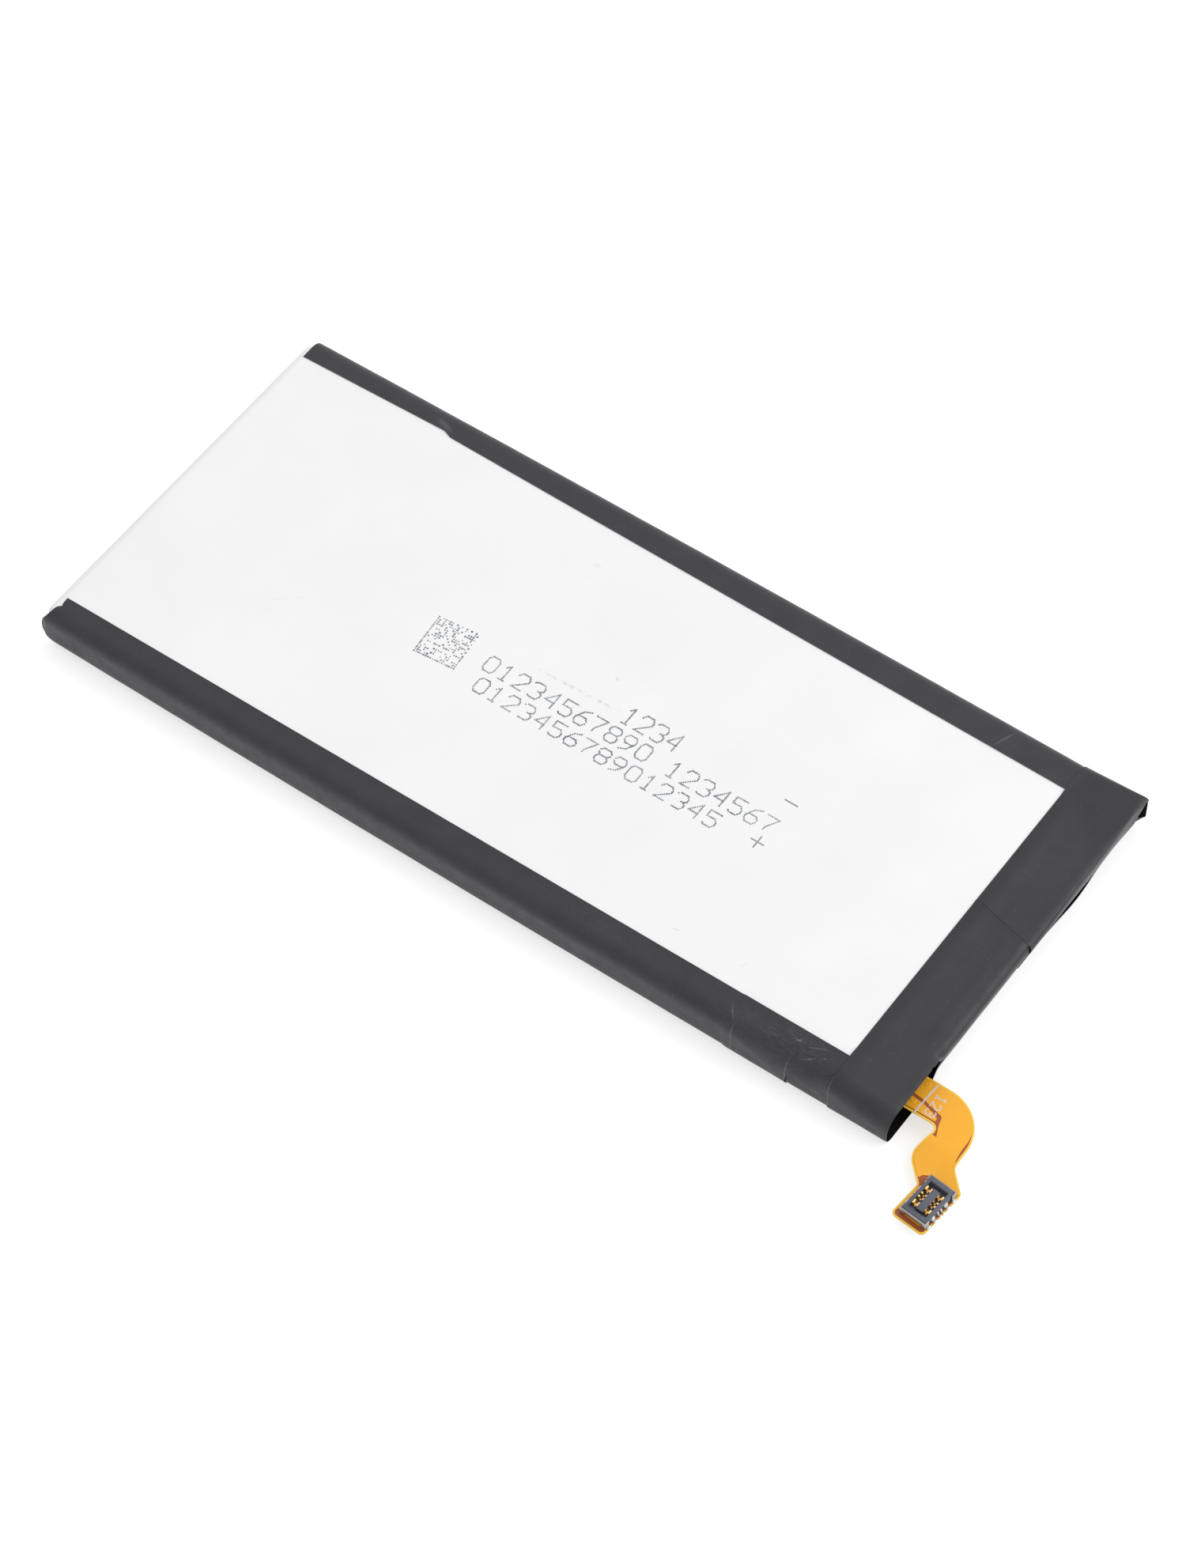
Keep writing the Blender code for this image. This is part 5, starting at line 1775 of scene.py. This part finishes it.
@dataclass
class FlexTail:
    """Polyimide tail with its copper planes, print and stiffener."""

    width: float = 3.55
    root_y: float = -16.52
    root_x: float = 42.65
    out: float = 8.45
    bend_radius: float = 4.2
    drop: float = 0.7
    droop_start: float = 0.78
    droop_run: float = 3.4
    droop_steps: int = 22
    border: float = 0.17
    copper: float = 0.035
    copper_gap: float = 0.01
    copper_border: float = 0.02
    thickness: float = 0.1
    cut_reach: float = 5.0
    nail_end: float = 2.02
    tab_right: float = 1.5
    tab_left: float = -1.85
    tab_margin: float = 0.55
    waist_gap: float = 0.4
    step: float = 0.12
    holes: Plan = ((46.27, -13.6), (46.11, -15.57))
    hole_section: Plan = ((0.26, 0.0), (0.21, 0.03), (0.15, 0.03), (0.09, 0.004))
    hole_steps: int = 24
    fold_foot: Pair = (46.83, -16.41)
    fold_slant: float = 0.045
    fold_run: Pair = (-13.3, -16.38)
    fold_width: float = 0.15
    fold_ragged: float = 0.02
    fold_steps: int = 22
    digit_corner: Pair = (47.5, -13.95)
    digit_size: Pair = (0.5, 0.9)
    digit_pitch: float = 0.8
    digit_width: float = 0.11
    print_height: float = 0.004
    print_gap: float = 0.003
    seed: int = 5
    copper_step: float = 0.08
    near_plane: Corners = (
        (43.3, -15.08, 0.0), (45.7, -15.22, 1.5), (47.0, -15.36, 1.5), (48.2, -15.68, 0.4),
        (48.72, -15.95, 0.2), (48.7, -16.24, 0.1), (43.3, -16.28, 0.0),
    )
    copper_cuts: tuple[Corners, ...] = (
        (
            (42.0, -14.75, 0.0), (45.7, -14.92, 1.5), (47.0, -15.06, 1.5), (48.1, -15.35, 0.6),
            (48.95, -15.55, 0.3), (49.15, -16.4, 0.4), (49.6, -17.4, 0.0), (42.0, -17.4, 0.0),
        ),
        (
            (51.8, -15.3, 0.1), (52.0, -16.3, 1.0), (52.0, -17.3, 1.0), (52.08, -18.2, 1.0),
            (52.26, -18.85, 0.1), (53.0, -18.7, 0.0), (53.0, -15.3, 0.0),
        ),
        (
            (49.8, -20.9, 0.0), (50.25, -21.1, 0.15), (50.5, -20.66, 0.15), (50.95, -20.45, 0.1),
            (51.4, -20.75, 0.1), (51.2, -21.5, 0.1), (50.6, -22.2, 0.1), (49.8, -22.2, 0.0),
        ),
    )
    bare_tails: Plan = (
        (0.9, 1.75), (1.25, 2.25), (1.75, 2.0), (1.75, -2.7), (-1.0, -2.7), (-1.9, -2.2),
        (-1.7, -1.7), (-1.35, -1.95), (0.9, -2.0),
    )

    @property
    def top(self) -> float:
        """Top of the film before it sags."""
        return node_box("flex_film")[1].z

    def sag(self, y: float) -> float:
        """How far the tail has sagged at y."""
        return self.drop * ramp(self.root_y - self.droop_start - y, (0.0, self.droop_run))

    def outline(self) -> list[Pair]:
        """Plan of the tail: a straight root, an S bend and the connector's tab."""
        far_x = SIZES.half_length + self.out
        high_y = self.root_y + self.width
        nail_end = self.nail_end
        right, left, bottom = self.tab_right, self.tab_left, -nail_end - self.tab_margin
        waist_x = far_x - self.width - self.waist_gap
        return rounded_outline(
            [
                (self.root_x, high_y, 0),
                (far_x, high_y, self.bend_radius),
                (far_x - 0.1, SEAT.y + nail_end + 1.9, 0.6),
                (*SEAT.at(right, nail_end + 0.45), 0.45),
                (*SEAT.at(right, bottom), 0.5),
                (*SEAT.at(left, bottom), 0.5),
                (*SEAT.at(left, 0.95), 0.4),
                (waist_x, SEAT.y + nail_end + 1.1, 1.5),
                (waist_x + 0.7, self.root_y, 0.55),
                (self.root_x, self.root_y, 0),
            ],
            self.step,
        )

    def sagged(self, shape: BMesh) -> BMesh:
        """Cuts a level plate across and bends it down where the tail sags."""
        start = self.root_y - self.droop_start
        for y in spread(start, start - self.droop_run, self.droop_steps):
            geometry = [*shape.verts, *shape.edges, *shape.faces]
            bmesh.ops.bisect_plane(shape, geom=geometry, plane_co=(0, y, 0), plane_no=(0, 1, 0))
        for vert in shape.verts:
            vert.co.z -= self.sag(vert.co.y)
        return shape

    def carved(self, name: str, plate: BMesh, cuts: Sequence[Plan]) -> BMesh:
        """Takes plan outlines out of a plate.

        Args:
            name: Name of the plate.
            plate: The level plate, which is used up.
            cuts: Outlines of what is cut away.

        Returns:
            What is left.
        """
        body = from_bmesh(name, plate, ())
        cutters = []
        for number, cut in enumerate(cuts):
            block = prism(cut, -self.cut_reach, self.cut_reach)
            cutter = from_bmesh(f"{name}_cut_{number}", block, ())
            modifier = body.modifiers.new("Cut", "BOOLEAN")
            modifier.operation, modifier.solver, modifier.object = "DIFFERENCE", "EXACT", cutter
            cutters.append(cutter)
        left = bmesh.new()
        left.from_mesh(evaluated_copy(body))
        bmesh.ops.scale(left, vec=(1 / MM, 1 / MM, 1 / MM), verts=left.verts)
        for obj in (body, *cutters):
            bpy.data.objects.remove(obj)
        return left

    def build(self) -> list[Object]:
        """Makes the film, its copper planes, their dimples, the print and the stiffener."""
        outline = self.outline()
        lip = inset_outline(outline, self.border)
        base = prism(outline, self.top - self.thickness, self.top, lip)
        film = from_bmesh("flex_base_film", self.sagged(base), (POLYIMIDE, ADHESIVE))
        pieces = [mount(film, Slot.POLYIMIDE, "flex_film")]
        bottom = self.top + self.copper_gap
        crown = bottom + self.copper
        near = rounded_outline(self.near_plane, self.copper_step)
        near_plane = from_bmesh("near_copper_plane", prism(near, bottom, crown), (COVERED_COPPER,))
        pieces.append(mount(near_plane, Slot.COPPER, "flex_near_plane"))
        cuts = [rounded_outline(cut, self.copper_step) for cut in self.copper_cuts]
        cuts.append([SEAT.at(u, v) for u, v in self.bare_tails])
        whole = prism(inset_outline(outline, self.border + self.copper_border), bottom, crown)
        plane = self.carved("far_copper_plane", whole, cuts)
        far_plane = from_bmesh("far_copper_plane", self.sagged(plane), (COVERED_COPPER,))
        pieces.append(mount(far_plane, Slot.COPPER, "flex_far_plane"))
        pieces += self.dimples(crown)
        pieces += self.marks(crown)
        pieces.append(rounded_copy("connector_stiffener", STEEL, Slot.STEEL, 0.03))
        return pieces

    def dimples(self, crown: float) -> list[Object]:
        """Two small plated holes that dimple the coverlay near the root."""
        shape = bmesh.new()
        steps = self.hole_steps
        turns = [2 * math.pi * step / steps for step in range(steps)]
        for x, y in self.holes:
            rings = [
                [(x + radius * math.cos(a), y + radius * math.sin(a), crown + rise) for a in turns]
                for radius, rise in self.hole_section
            ]
            loft(shape, rings)
        obj = from_bmesh("flex_dimples", shape, (COVERED_COPPER,), 60.0)
        return [mount(obj, Slot.COPPER)]

    def marks(self, crown: float) -> list[Object]:
        """A fold line across the tail and plain numbers beside it."""
        level = crown + self.print_gap
        form = RibbonForm("silkscreen_strokes", SILKSCREEN)
        draw = random.Random(self.seed)
        (foot_x, foot_y), ragged = self.fold_foot, self.fold_ragged
        bar = [
            (foot_x + self.fold_slant * (y - foot_y) + draw.uniform(-ragged, ragged), y)
            for y in spread(*self.fold_run, self.fold_steps)
        ]
        (left, first_y), (across, up) = self.digit_corner, self.digit_size
        digits = []
        for number, digit in enumerate("123"):
            base_y = first_y - self.digit_pitch * number
            for stroke in NUMERALS[digit]:
                digits.append([(left + up * v, base_y - across * u) for u, v in stroke])
        pieces = []
        table = (("fold_line", [bar], self.fold_width), ("numbers", digits, self.digit_width))
        for name, strokes, width in table:
            lines = line_work(name, stroke_pieces(strokes, width, level))
            sizes = {"Width": width * MM, "Height": self.print_height * MM}
            pieces.append(mount(form.run(f"flex_{name}", lines, sizes), Slot.POLYIMIDE))
        return pieces


# Connector


@dataclass
class Connector:
    """The low board-to-board socket with its sprung contacts, nails and solder."""

    housing_edge: float = 0.05
    nail_edge: float = 0.03
    leaf: float = 0.1
    leaf_corner: float = 0.035
    path_steps: int = 44
    tinned_from: float = 1.16
    foot_at: Pair = (1.4, 0.03)
    foot_bead: Point = (0.36, 0.95, 0.16)
    nail_at: Pair = (1.38, 0.04)
    nail_v: float = 1.62
    nail_bead: Point = (0.3, 0.42, 0.24)
    rows: Plan = ((0.82, 0.44), (0.2, 0.2), (-0.2, 0.2), (-0.82, 0.44))
    path: Plan = (
        (1.46, 0.04), (1.3, 0.04), (1.235, 0.1), (1.22, 0.26), (1.14, 0.345), (0.98, 0.35),
        (0.905, 0.42), (0.9, 0.6), (0.895, 0.74), (0.82, 0.815), (0.735, 0.74), (0.72, 0.56),
        (0.69, 0.42), (0.58, 0.36), (0.475, 0.42), (0.45, 0.56), (0.43, 0.68), (0.375, 0.74),
    )

    def build(self) -> list[Object]:
        """Rounds the housing and the nails, bends the contacts and solders their feet."""
        pieces = [rounded_copy("connector_housing", LCP, Slot.PLASTIC, self.housing_edge)]
        for row, side in (("back", -1), ("front", 1)):
            for number, (v, width) in enumerate(self.rows, 1):
                pieces.append(self.contact(f"contact_{row}_{number}", side, v, width))
        for end in ("near", "far"):
            pieces.append(rounded_copy(f"fitting_nail_{end}", NAIL, Slot.TIN, self.nail_edge))
        pieces.append(self.solder())
        return pieces

    def contact(self, node: str, side: int, v: float, width: float) -> Object:
        """Bends one contact from flat strip.

        Args:
            node: The CAD node that it replaces.
            side: Sign of U.
            v: Its place along the row.
            width: Width of its strip.

        Returns:
            The piece: a solder foot, a rise through the wall, a rounded outer crest and a tip.
        """
        line = through(self.path, self.path_steps)
        runs = np.gradient(line, axis=0)
        runs /= np.linalg.norm(runs, axis=1)[:, None]
        half_w, half_t, cut = width / 2, self.leaf / 2, self.leaf_corner
        ring = [
            (across * (half_w - a), up * (half_t - b))
            for across, up, corner in ((1, 1, 0), (-1, 1, 1), (-1, -1, 0), (1, -1, 1))
            for a, b in (((0, cut), (cut, 0)) if corner == 0 else ((cut, 0), (0, cut)))
        ]
        rings = [
            [
                (*SEAT.at(side * (u - run_z * up), v + across), SEAT.z + z + run_u * up)
                for across, up in ring
            ]
            for (u, z), (run_u, run_z) in zip(line, runs)
        ]
        shape = bmesh.new()
        faces = loft(shape, rings)
        tinned = [u > self.tinned_from for u, z in line[:-1] for corner in ring]
        for face, tin in zip(faces, [*tinned, True]):
            face.material_index = int(tin)
        obj = from_bmesh(f"{node}_sprung", shape, (GOLD, TIN), 50.0)
        return mount(obj, Slot.GOLD, node)

    def solder(self) -> Object:
        """Solder on the eight contact tails and the nails' feet."""
        long, wide, high = self.foot_bead
        table = [(*self.foot_at, v, (long, width * wide, high)) for v, width in self.rows]
        table += [(*self.nail_at, v, self.nail_bead) for v in (self.nail_v, -self.nail_v)]
        spots = [
            (*SEAT.at(side * u, v), SEAT.z + z) for side in (-1, 1) for u, z, v, bead in table
        ]
        beads = [row[-1] for row in table] * 2
        cloud = point_cloud("solder_feet", spots)
        own = cloud.attributes.new("bead", "FLOAT_VECTOR", "POINT")
        own.data.foreach_set("vector", [c for bead in beads for c in bead])
        form = BeadForm("solder_beads", SOLDER)
        obj = form.run("solder_joints", cloud, {"Turn": math.radians(SEAT.turn)})
        return mount(obj, Slot.TIN)


# Print on the white face

# Strokes of each numeral in a box of one by one, from its lower left corner
NUMERALS: dict[str, tuple[Plan, ...]] = {
    "0": (
        (
            (0.2, 0), (0, 0.2), (0, 0.8), (0.2, 1), (0.8, 1), (1, 0.8), (1, 0.2), (0.8, 0),
            (0.2, 0),
        ),
    ),
    "1": (((0.2, 0.8), (0.5, 1), (0.5, 0)), ((0.2, 0), (0.8, 0))),
    "2": (((0, 0.8), (0.2, 1), (0.8, 1), (1, 0.8), (1, 0.62), (0, 0), (1, 0)),),
    "3": (
        ((0, 0.9), (0.2, 1), (0.8, 1), (1, 0.8), (1, 0.62), (0.75, 0.5), (0.4, 0.5)),
        ((0.75, 0.5), (1, 0.38), (1, 0.2), (0.8, 0), (0.2, 0), (0, 0.1)),
    ),
    "4": (((0.8, 0), (0.8, 1), (0, 0.35), (1, 0.35)),),
    "5": (
        (
            (1, 1), (0.05, 1), (0.05, 0.58), (0.75, 0.6), (1, 0.4), (1, 0.2), (0.8, 0), (0.2, 0),
            (0, 0.15),
        ),
    ),
    "6": (
        (
            (0.9, 1), (0.4, 0.85), (0, 0.4), (0, 0.2), (0.2, 0), (0.8, 0), (1, 0.2), (1, 0.35),
            (0.8, 0.52), (0.2, 0.52), (0, 0.38),
        ),
    ),
    "7": (((0, 1), (1, 1), (0.4, 0.3), (0.35, 0)),),
    "8": (
        (
            (0.2, 0.52), (0, 0.68), (0, 0.85), (0.2, 1), (0.8, 1), (1, 0.85), (1, 0.68),
            (0.8, 0.52), (0.2, 0.52), (0, 0.36), (0, 0.18), (0.2, 0), (0.8, 0), (1, 0.18),
            (1, 0.36), (0.8, 0.52),
        ),
    ),
    "9": (
        (
            (0.1, 0), (0.6, 0.15), (1, 0.6), (1, 0.8), (0.8, 1), (0.2, 1), (0, 0.8), (0, 0.65),
            (0.2, 0.48), (0.8, 0.48), (1, 0.62),
        ),
    ),
}


@dataclass(frozen=True)
class PrintedLine:
    """One line of plain numbers, jetted in dots along each stroke."""

    text: str
    start: Pair
    pitch: float
    width: float
    height: float
    dot_gap: float = 0.19

    def dots(self) -> list[Pair]:
        """Places of its dots."""
        places = []
        for number, mark in enumerate(self.text):
            left = self.start[0] + number * self.pitch
            for stroke in NUMERALS.get(mark, ()):
                line = [(left + u * self.width, self.start[1] + v * self.height) for u, v in stroke]
                for first, second in zip(line, line[1:]):
                    steps = max(1, round(math.dist(first, second) / self.dot_gap))
                    runs = (spread(a, b, steps)[:-1] for a, b in zip(first, second))
                    places += zip(*runs)
        return places


@dataclass
class FacePrint:
    """Generic print on the white face: numbers, polarity signs and a field of square modules."""

    dot_radius: float = 0.105
    dot_sides: int = 8
    least_dot: float = 0.7
    ink_height: float = 0.006
    polarity_half: float = 0.62
    polarity_width: float = 0.13
    minus_at: Pair = (22.07, 1.6)
    plus_at: Pair = (21.99, -3.37)
    field_origin: Pair = (-14.33, -4.12)
    field_turn: float = 5.2
    field_size: Pair = (4.32, 4.5)
    modules: int = 18
    module_fill: float = 0.5
    module_dot: float = 0.52
    module_sides: int = 7
    least_module: float = 0.5
    seed: int = 41
    lines: tuple[PrintedLine, ...] = (
        PrintedLine("1234", (4.95, 0.15), 1.55, 1.15, 1.85),
        PrintedLine("01234567890 1234567", (-8.25, -2.2), 1.635, 1.15, 1.7),
        PrintedLine("0123456789012345", (-7.6, -4.5), 1.63, 1.15, 1.6),
    )

    @property
    def level(self) -> float:
        """Height of the ink's middle."""
        return SIZES.thickness + self.ink_height / 2

    def build(self) -> list[Object]:
        """Makes the numbers, the signs and the module field."""
        form = DotForm("ink_dots", INK, self.seed)
        dots = [(x, y, self.level) for line in self.lines for x, y in line.dots()]
        tile = self.module_dot * self.field_size[0] / self.modules
        slant = math.radians(self.field_turn)
        table = (
            ("face_numbers", dots, self.dot_radius, 0.0, self.least_dot, self.dot_sides),
            ("face_modules", self.tiles(), tile, slant, self.least_module, self.module_sides),
        )
        pieces = []
        for name, places, radius, turn, least, sides in table:
            sizes = {"Radius": radius * MM, "Height": self.ink_height * MM, "Turn": turn}
            sizes |= {"Least size": least, "Sides": sides}
            pieces.append(form.run(name, point_cloud(f"{name}_places", places), sizes))
        strokes = RibbonForm("sign_strokes", INK)
        sizes = {"Width": self.polarity_width * MM, "Height": self.ink_height * MM}
        pieces.append(strokes.run("polarity_signs", line_work("signs", self.signs()), sizes))
        return [mount(obj, Slot.POUCH) for obj in pieces]

    def signs(self) -> list[list[Point]]:
        """Strokes of the minus and the plus sign."""
        half = self.polarity_half
        (x1, y1), (x2, y2) = self.minus_at, self.plus_at
        strokes = [
            [(x1 - half, y1), (x1 + half, y1)],
            [(x2 - half, y2), (x2 + half, y2)],
            [(x2, y2 - half), (x2, y2 + half)],
        ]
        return stroke_pieces(strokes, self.polarity_width, self.level)

    def tiles(self) -> list[Point]:
        """Places of the dark modules: two solid sides and a random fill."""
        draw = random.Random(self.seed)
        last = self.modules - 1
        places = []
        for i in range(self.modules):
            for j in range(self.modules):
                solid = i == 0 or j == 0
                broken = (i == last or j == last) and (i + j) % 2
                if solid or broken or draw.random() < self.module_fill:
                    u = (i + 0.5) * self.field_size[0] / self.modules
                    v = (j + 0.5) * self.field_size[1] / self.modules
                    spot = turned(self.field_origin, (u, v), self.field_turn)
                    places.append((*spot, self.level))
        return places


# Studio


@dataclass
class Studio:
    """Camera at the photograph's angle, a pale floor and soft light."""

    eye: Point = (144.297, -184.143, 322.55)
    azimuth: float = 37.698
    elevation: float = 54.798
    roll: float = 2.054
    lens: float = 104.29
    sensor: float = 36.0
    floor_half: float = 3.0
    floor_colour: str = "#CCCCCC"
    floor_seen: float = 0.6
    lamp_towards: Point = (0.62, 0.42, 0.66)
    lamp_distance: float = 0.62
    lamp_size: float = 0.5
    lamp_watts: float = 1.3
    world_light: float = 1.06
    world_dim: float = 0.9

    def build(self) -> None:
        """Sets up the camera, the floor, the lamp and the world."""
        self.camera()
        self.floor()
        self.lamp()
        self.world()
        bpy.context.scene.view_settings.view_transform = "Standard"

    def camera(self) -> None:
        """Puts the camera where the photograph's perspective places it."""
        az, el = math.radians(self.azimuth), math.radians(self.elevation)
        back = Vector((math.sin(az) * math.cos(el), -math.cos(az) * math.cos(el), math.sin(el)))
        right = (-back).cross(Vector((0, 0, 1))).normalized()
        down = (-back).cross(right)
        roll = math.radians(self.roll)
        c, s = math.cos(roll), math.sin(roll)
        axis_x, axis_y = c * right + s * down, s * right - c * down
        data = bpy.data.cameras.new("photo_camera")
        data.lens, data.sensor_width, data.sensor_fit = self.lens, self.sensor, "AUTO"
        data.clip_start, data.clip_end = 0.01, 20.0
        camera = bpy.data.objects.new("photo_camera", data)
        facing = Matrix((axis_x, axis_y, back)).transposed().to_4x4()
        camera.matrix_world = Matrix.Translation(Vector(self.eye) * MM) @ facing
        bpy.context.scene.collection.objects.link(camera)
        bpy.context.scene.camera = camera

    def floor(self) -> None:
        """Lays a pale floor under the pack, white where no shadow falls."""
        shape = bmesh.new()
        bmesh.ops.create_grid(shape, x_segments=1, y_segments=1, size=self.floor_half / MM)
        for vert in shape.verts:
            vert.co.z = CAD_BOX[0][2] / MM
        floor = from_bmesh("studio_floor", shape, ())
        material = bpy.data.materials.new("Pale studio floor")
        material.use_nodes = True
        tree = material.node_tree
        tree.nodes.remove(tree.nodes["Principled BSDF"])
        matte = add(tree, "ShaderNodeBsdfDiffuse", {"Color": srgb(self.floor_colour)})
        # The eye and each reflection see it nearer to white than its light on the pack is
        path = add(tree, "ShaderNodeLightPath", {}).outputs
        rays = {0: path["Is Camera Ray"], 1: path["Is Glossy Ray"]}
        seen = add(tree, MATH, rays, operation="MAXIMUM")
        seen = add(tree, MATH, {0: seen, 1: path["Is Transmission Ray"]}, operation="MAXIMUM")
        strength = add(tree, MATH, {0: seen, 1: self.floor_seen}, operation="MULTIPLY")
        glow = add(tree, "ShaderNodeEmission", {"Strength": strength})
        both = add(tree, "ShaderNodeAddShader", {0: matte, 1: glow})
        tree.links.new(live(both), tree.nodes["Material Output"].inputs[0])
        floor.data.materials.append(material)

    def lamp(self) -> None:
        """Hangs one large soft lamp over the head's far corner."""
        data = bpy.data.lights.new("soft_lamp", "AREA")
        data.shape, data.size, data.energy = "SQUARE", self.lamp_size, self.lamp_watts
        lamp = bpy.data.objects.new("soft_lamp", data)
        towards = Vector(self.lamp_towards).normalized()
        lamp.location = towards * self.lamp_distance
        lamp.rotation_euler = towards.to_track_quat("Z", "Y").to_euler()
        bpy.context.scene.collection.objects.link(lamp)

    def world(self) -> None:
        """Surrounds the pack with white, a little dimmer over its near side."""
        world = bpy.data.worlds.new("Soft studio")
        bpy.context.scene.world = world
        world.use_nodes = True
        tree = world.node_tree
        tree.nodes.clear()
        direction = add(tree, "ShaderNodeTexCoord", {}).outputs["Generated"]
        facing = add(tree, VECTOR_MATH, {0: direction, 1: (0.0, -1.0, 0.0)}, operation="DOT_PRODUCT")
        span = {1: -0.3, 2: 0.6, 3: self.world_light, 4: self.world_light * self.world_dim}
        light = add(tree, RANGE, {0: facing.outputs["Value"], **span})
        path = add(tree, "ShaderNodeLightPath", {}).outputs["Is Camera Ray"]
        strength = add(tree, MIX, {0: path, 2: light, 3: 1.0}, data_type="FLOAT")
        back = add(tree, "ShaderNodeBackground", {"Strength": strength})
        add(tree, "ShaderNodeOutputWorld", {"Surface": back})


def main() -> None:
    """Builds each sub-assembly in order and reports its pieces."""
    logging.basicConfig(level=logging.INFO, format="%(name)s: %(message)s")
    Studio().build()
    assemblies = (
        PouchCell(), FacePrint(), SideTapes(), ProtectionBoard(), FlexTail(), Connector(),
        HeadWrap(),
    )
    for assembly in assemblies:
        for piece in assembly.build():
            faces = len(piece.data.polygons)
            LOG.info("%s: %s, %d faces", type(assembly).__name__, piece.name, faces)


if __name__ == "__main__":
    main()
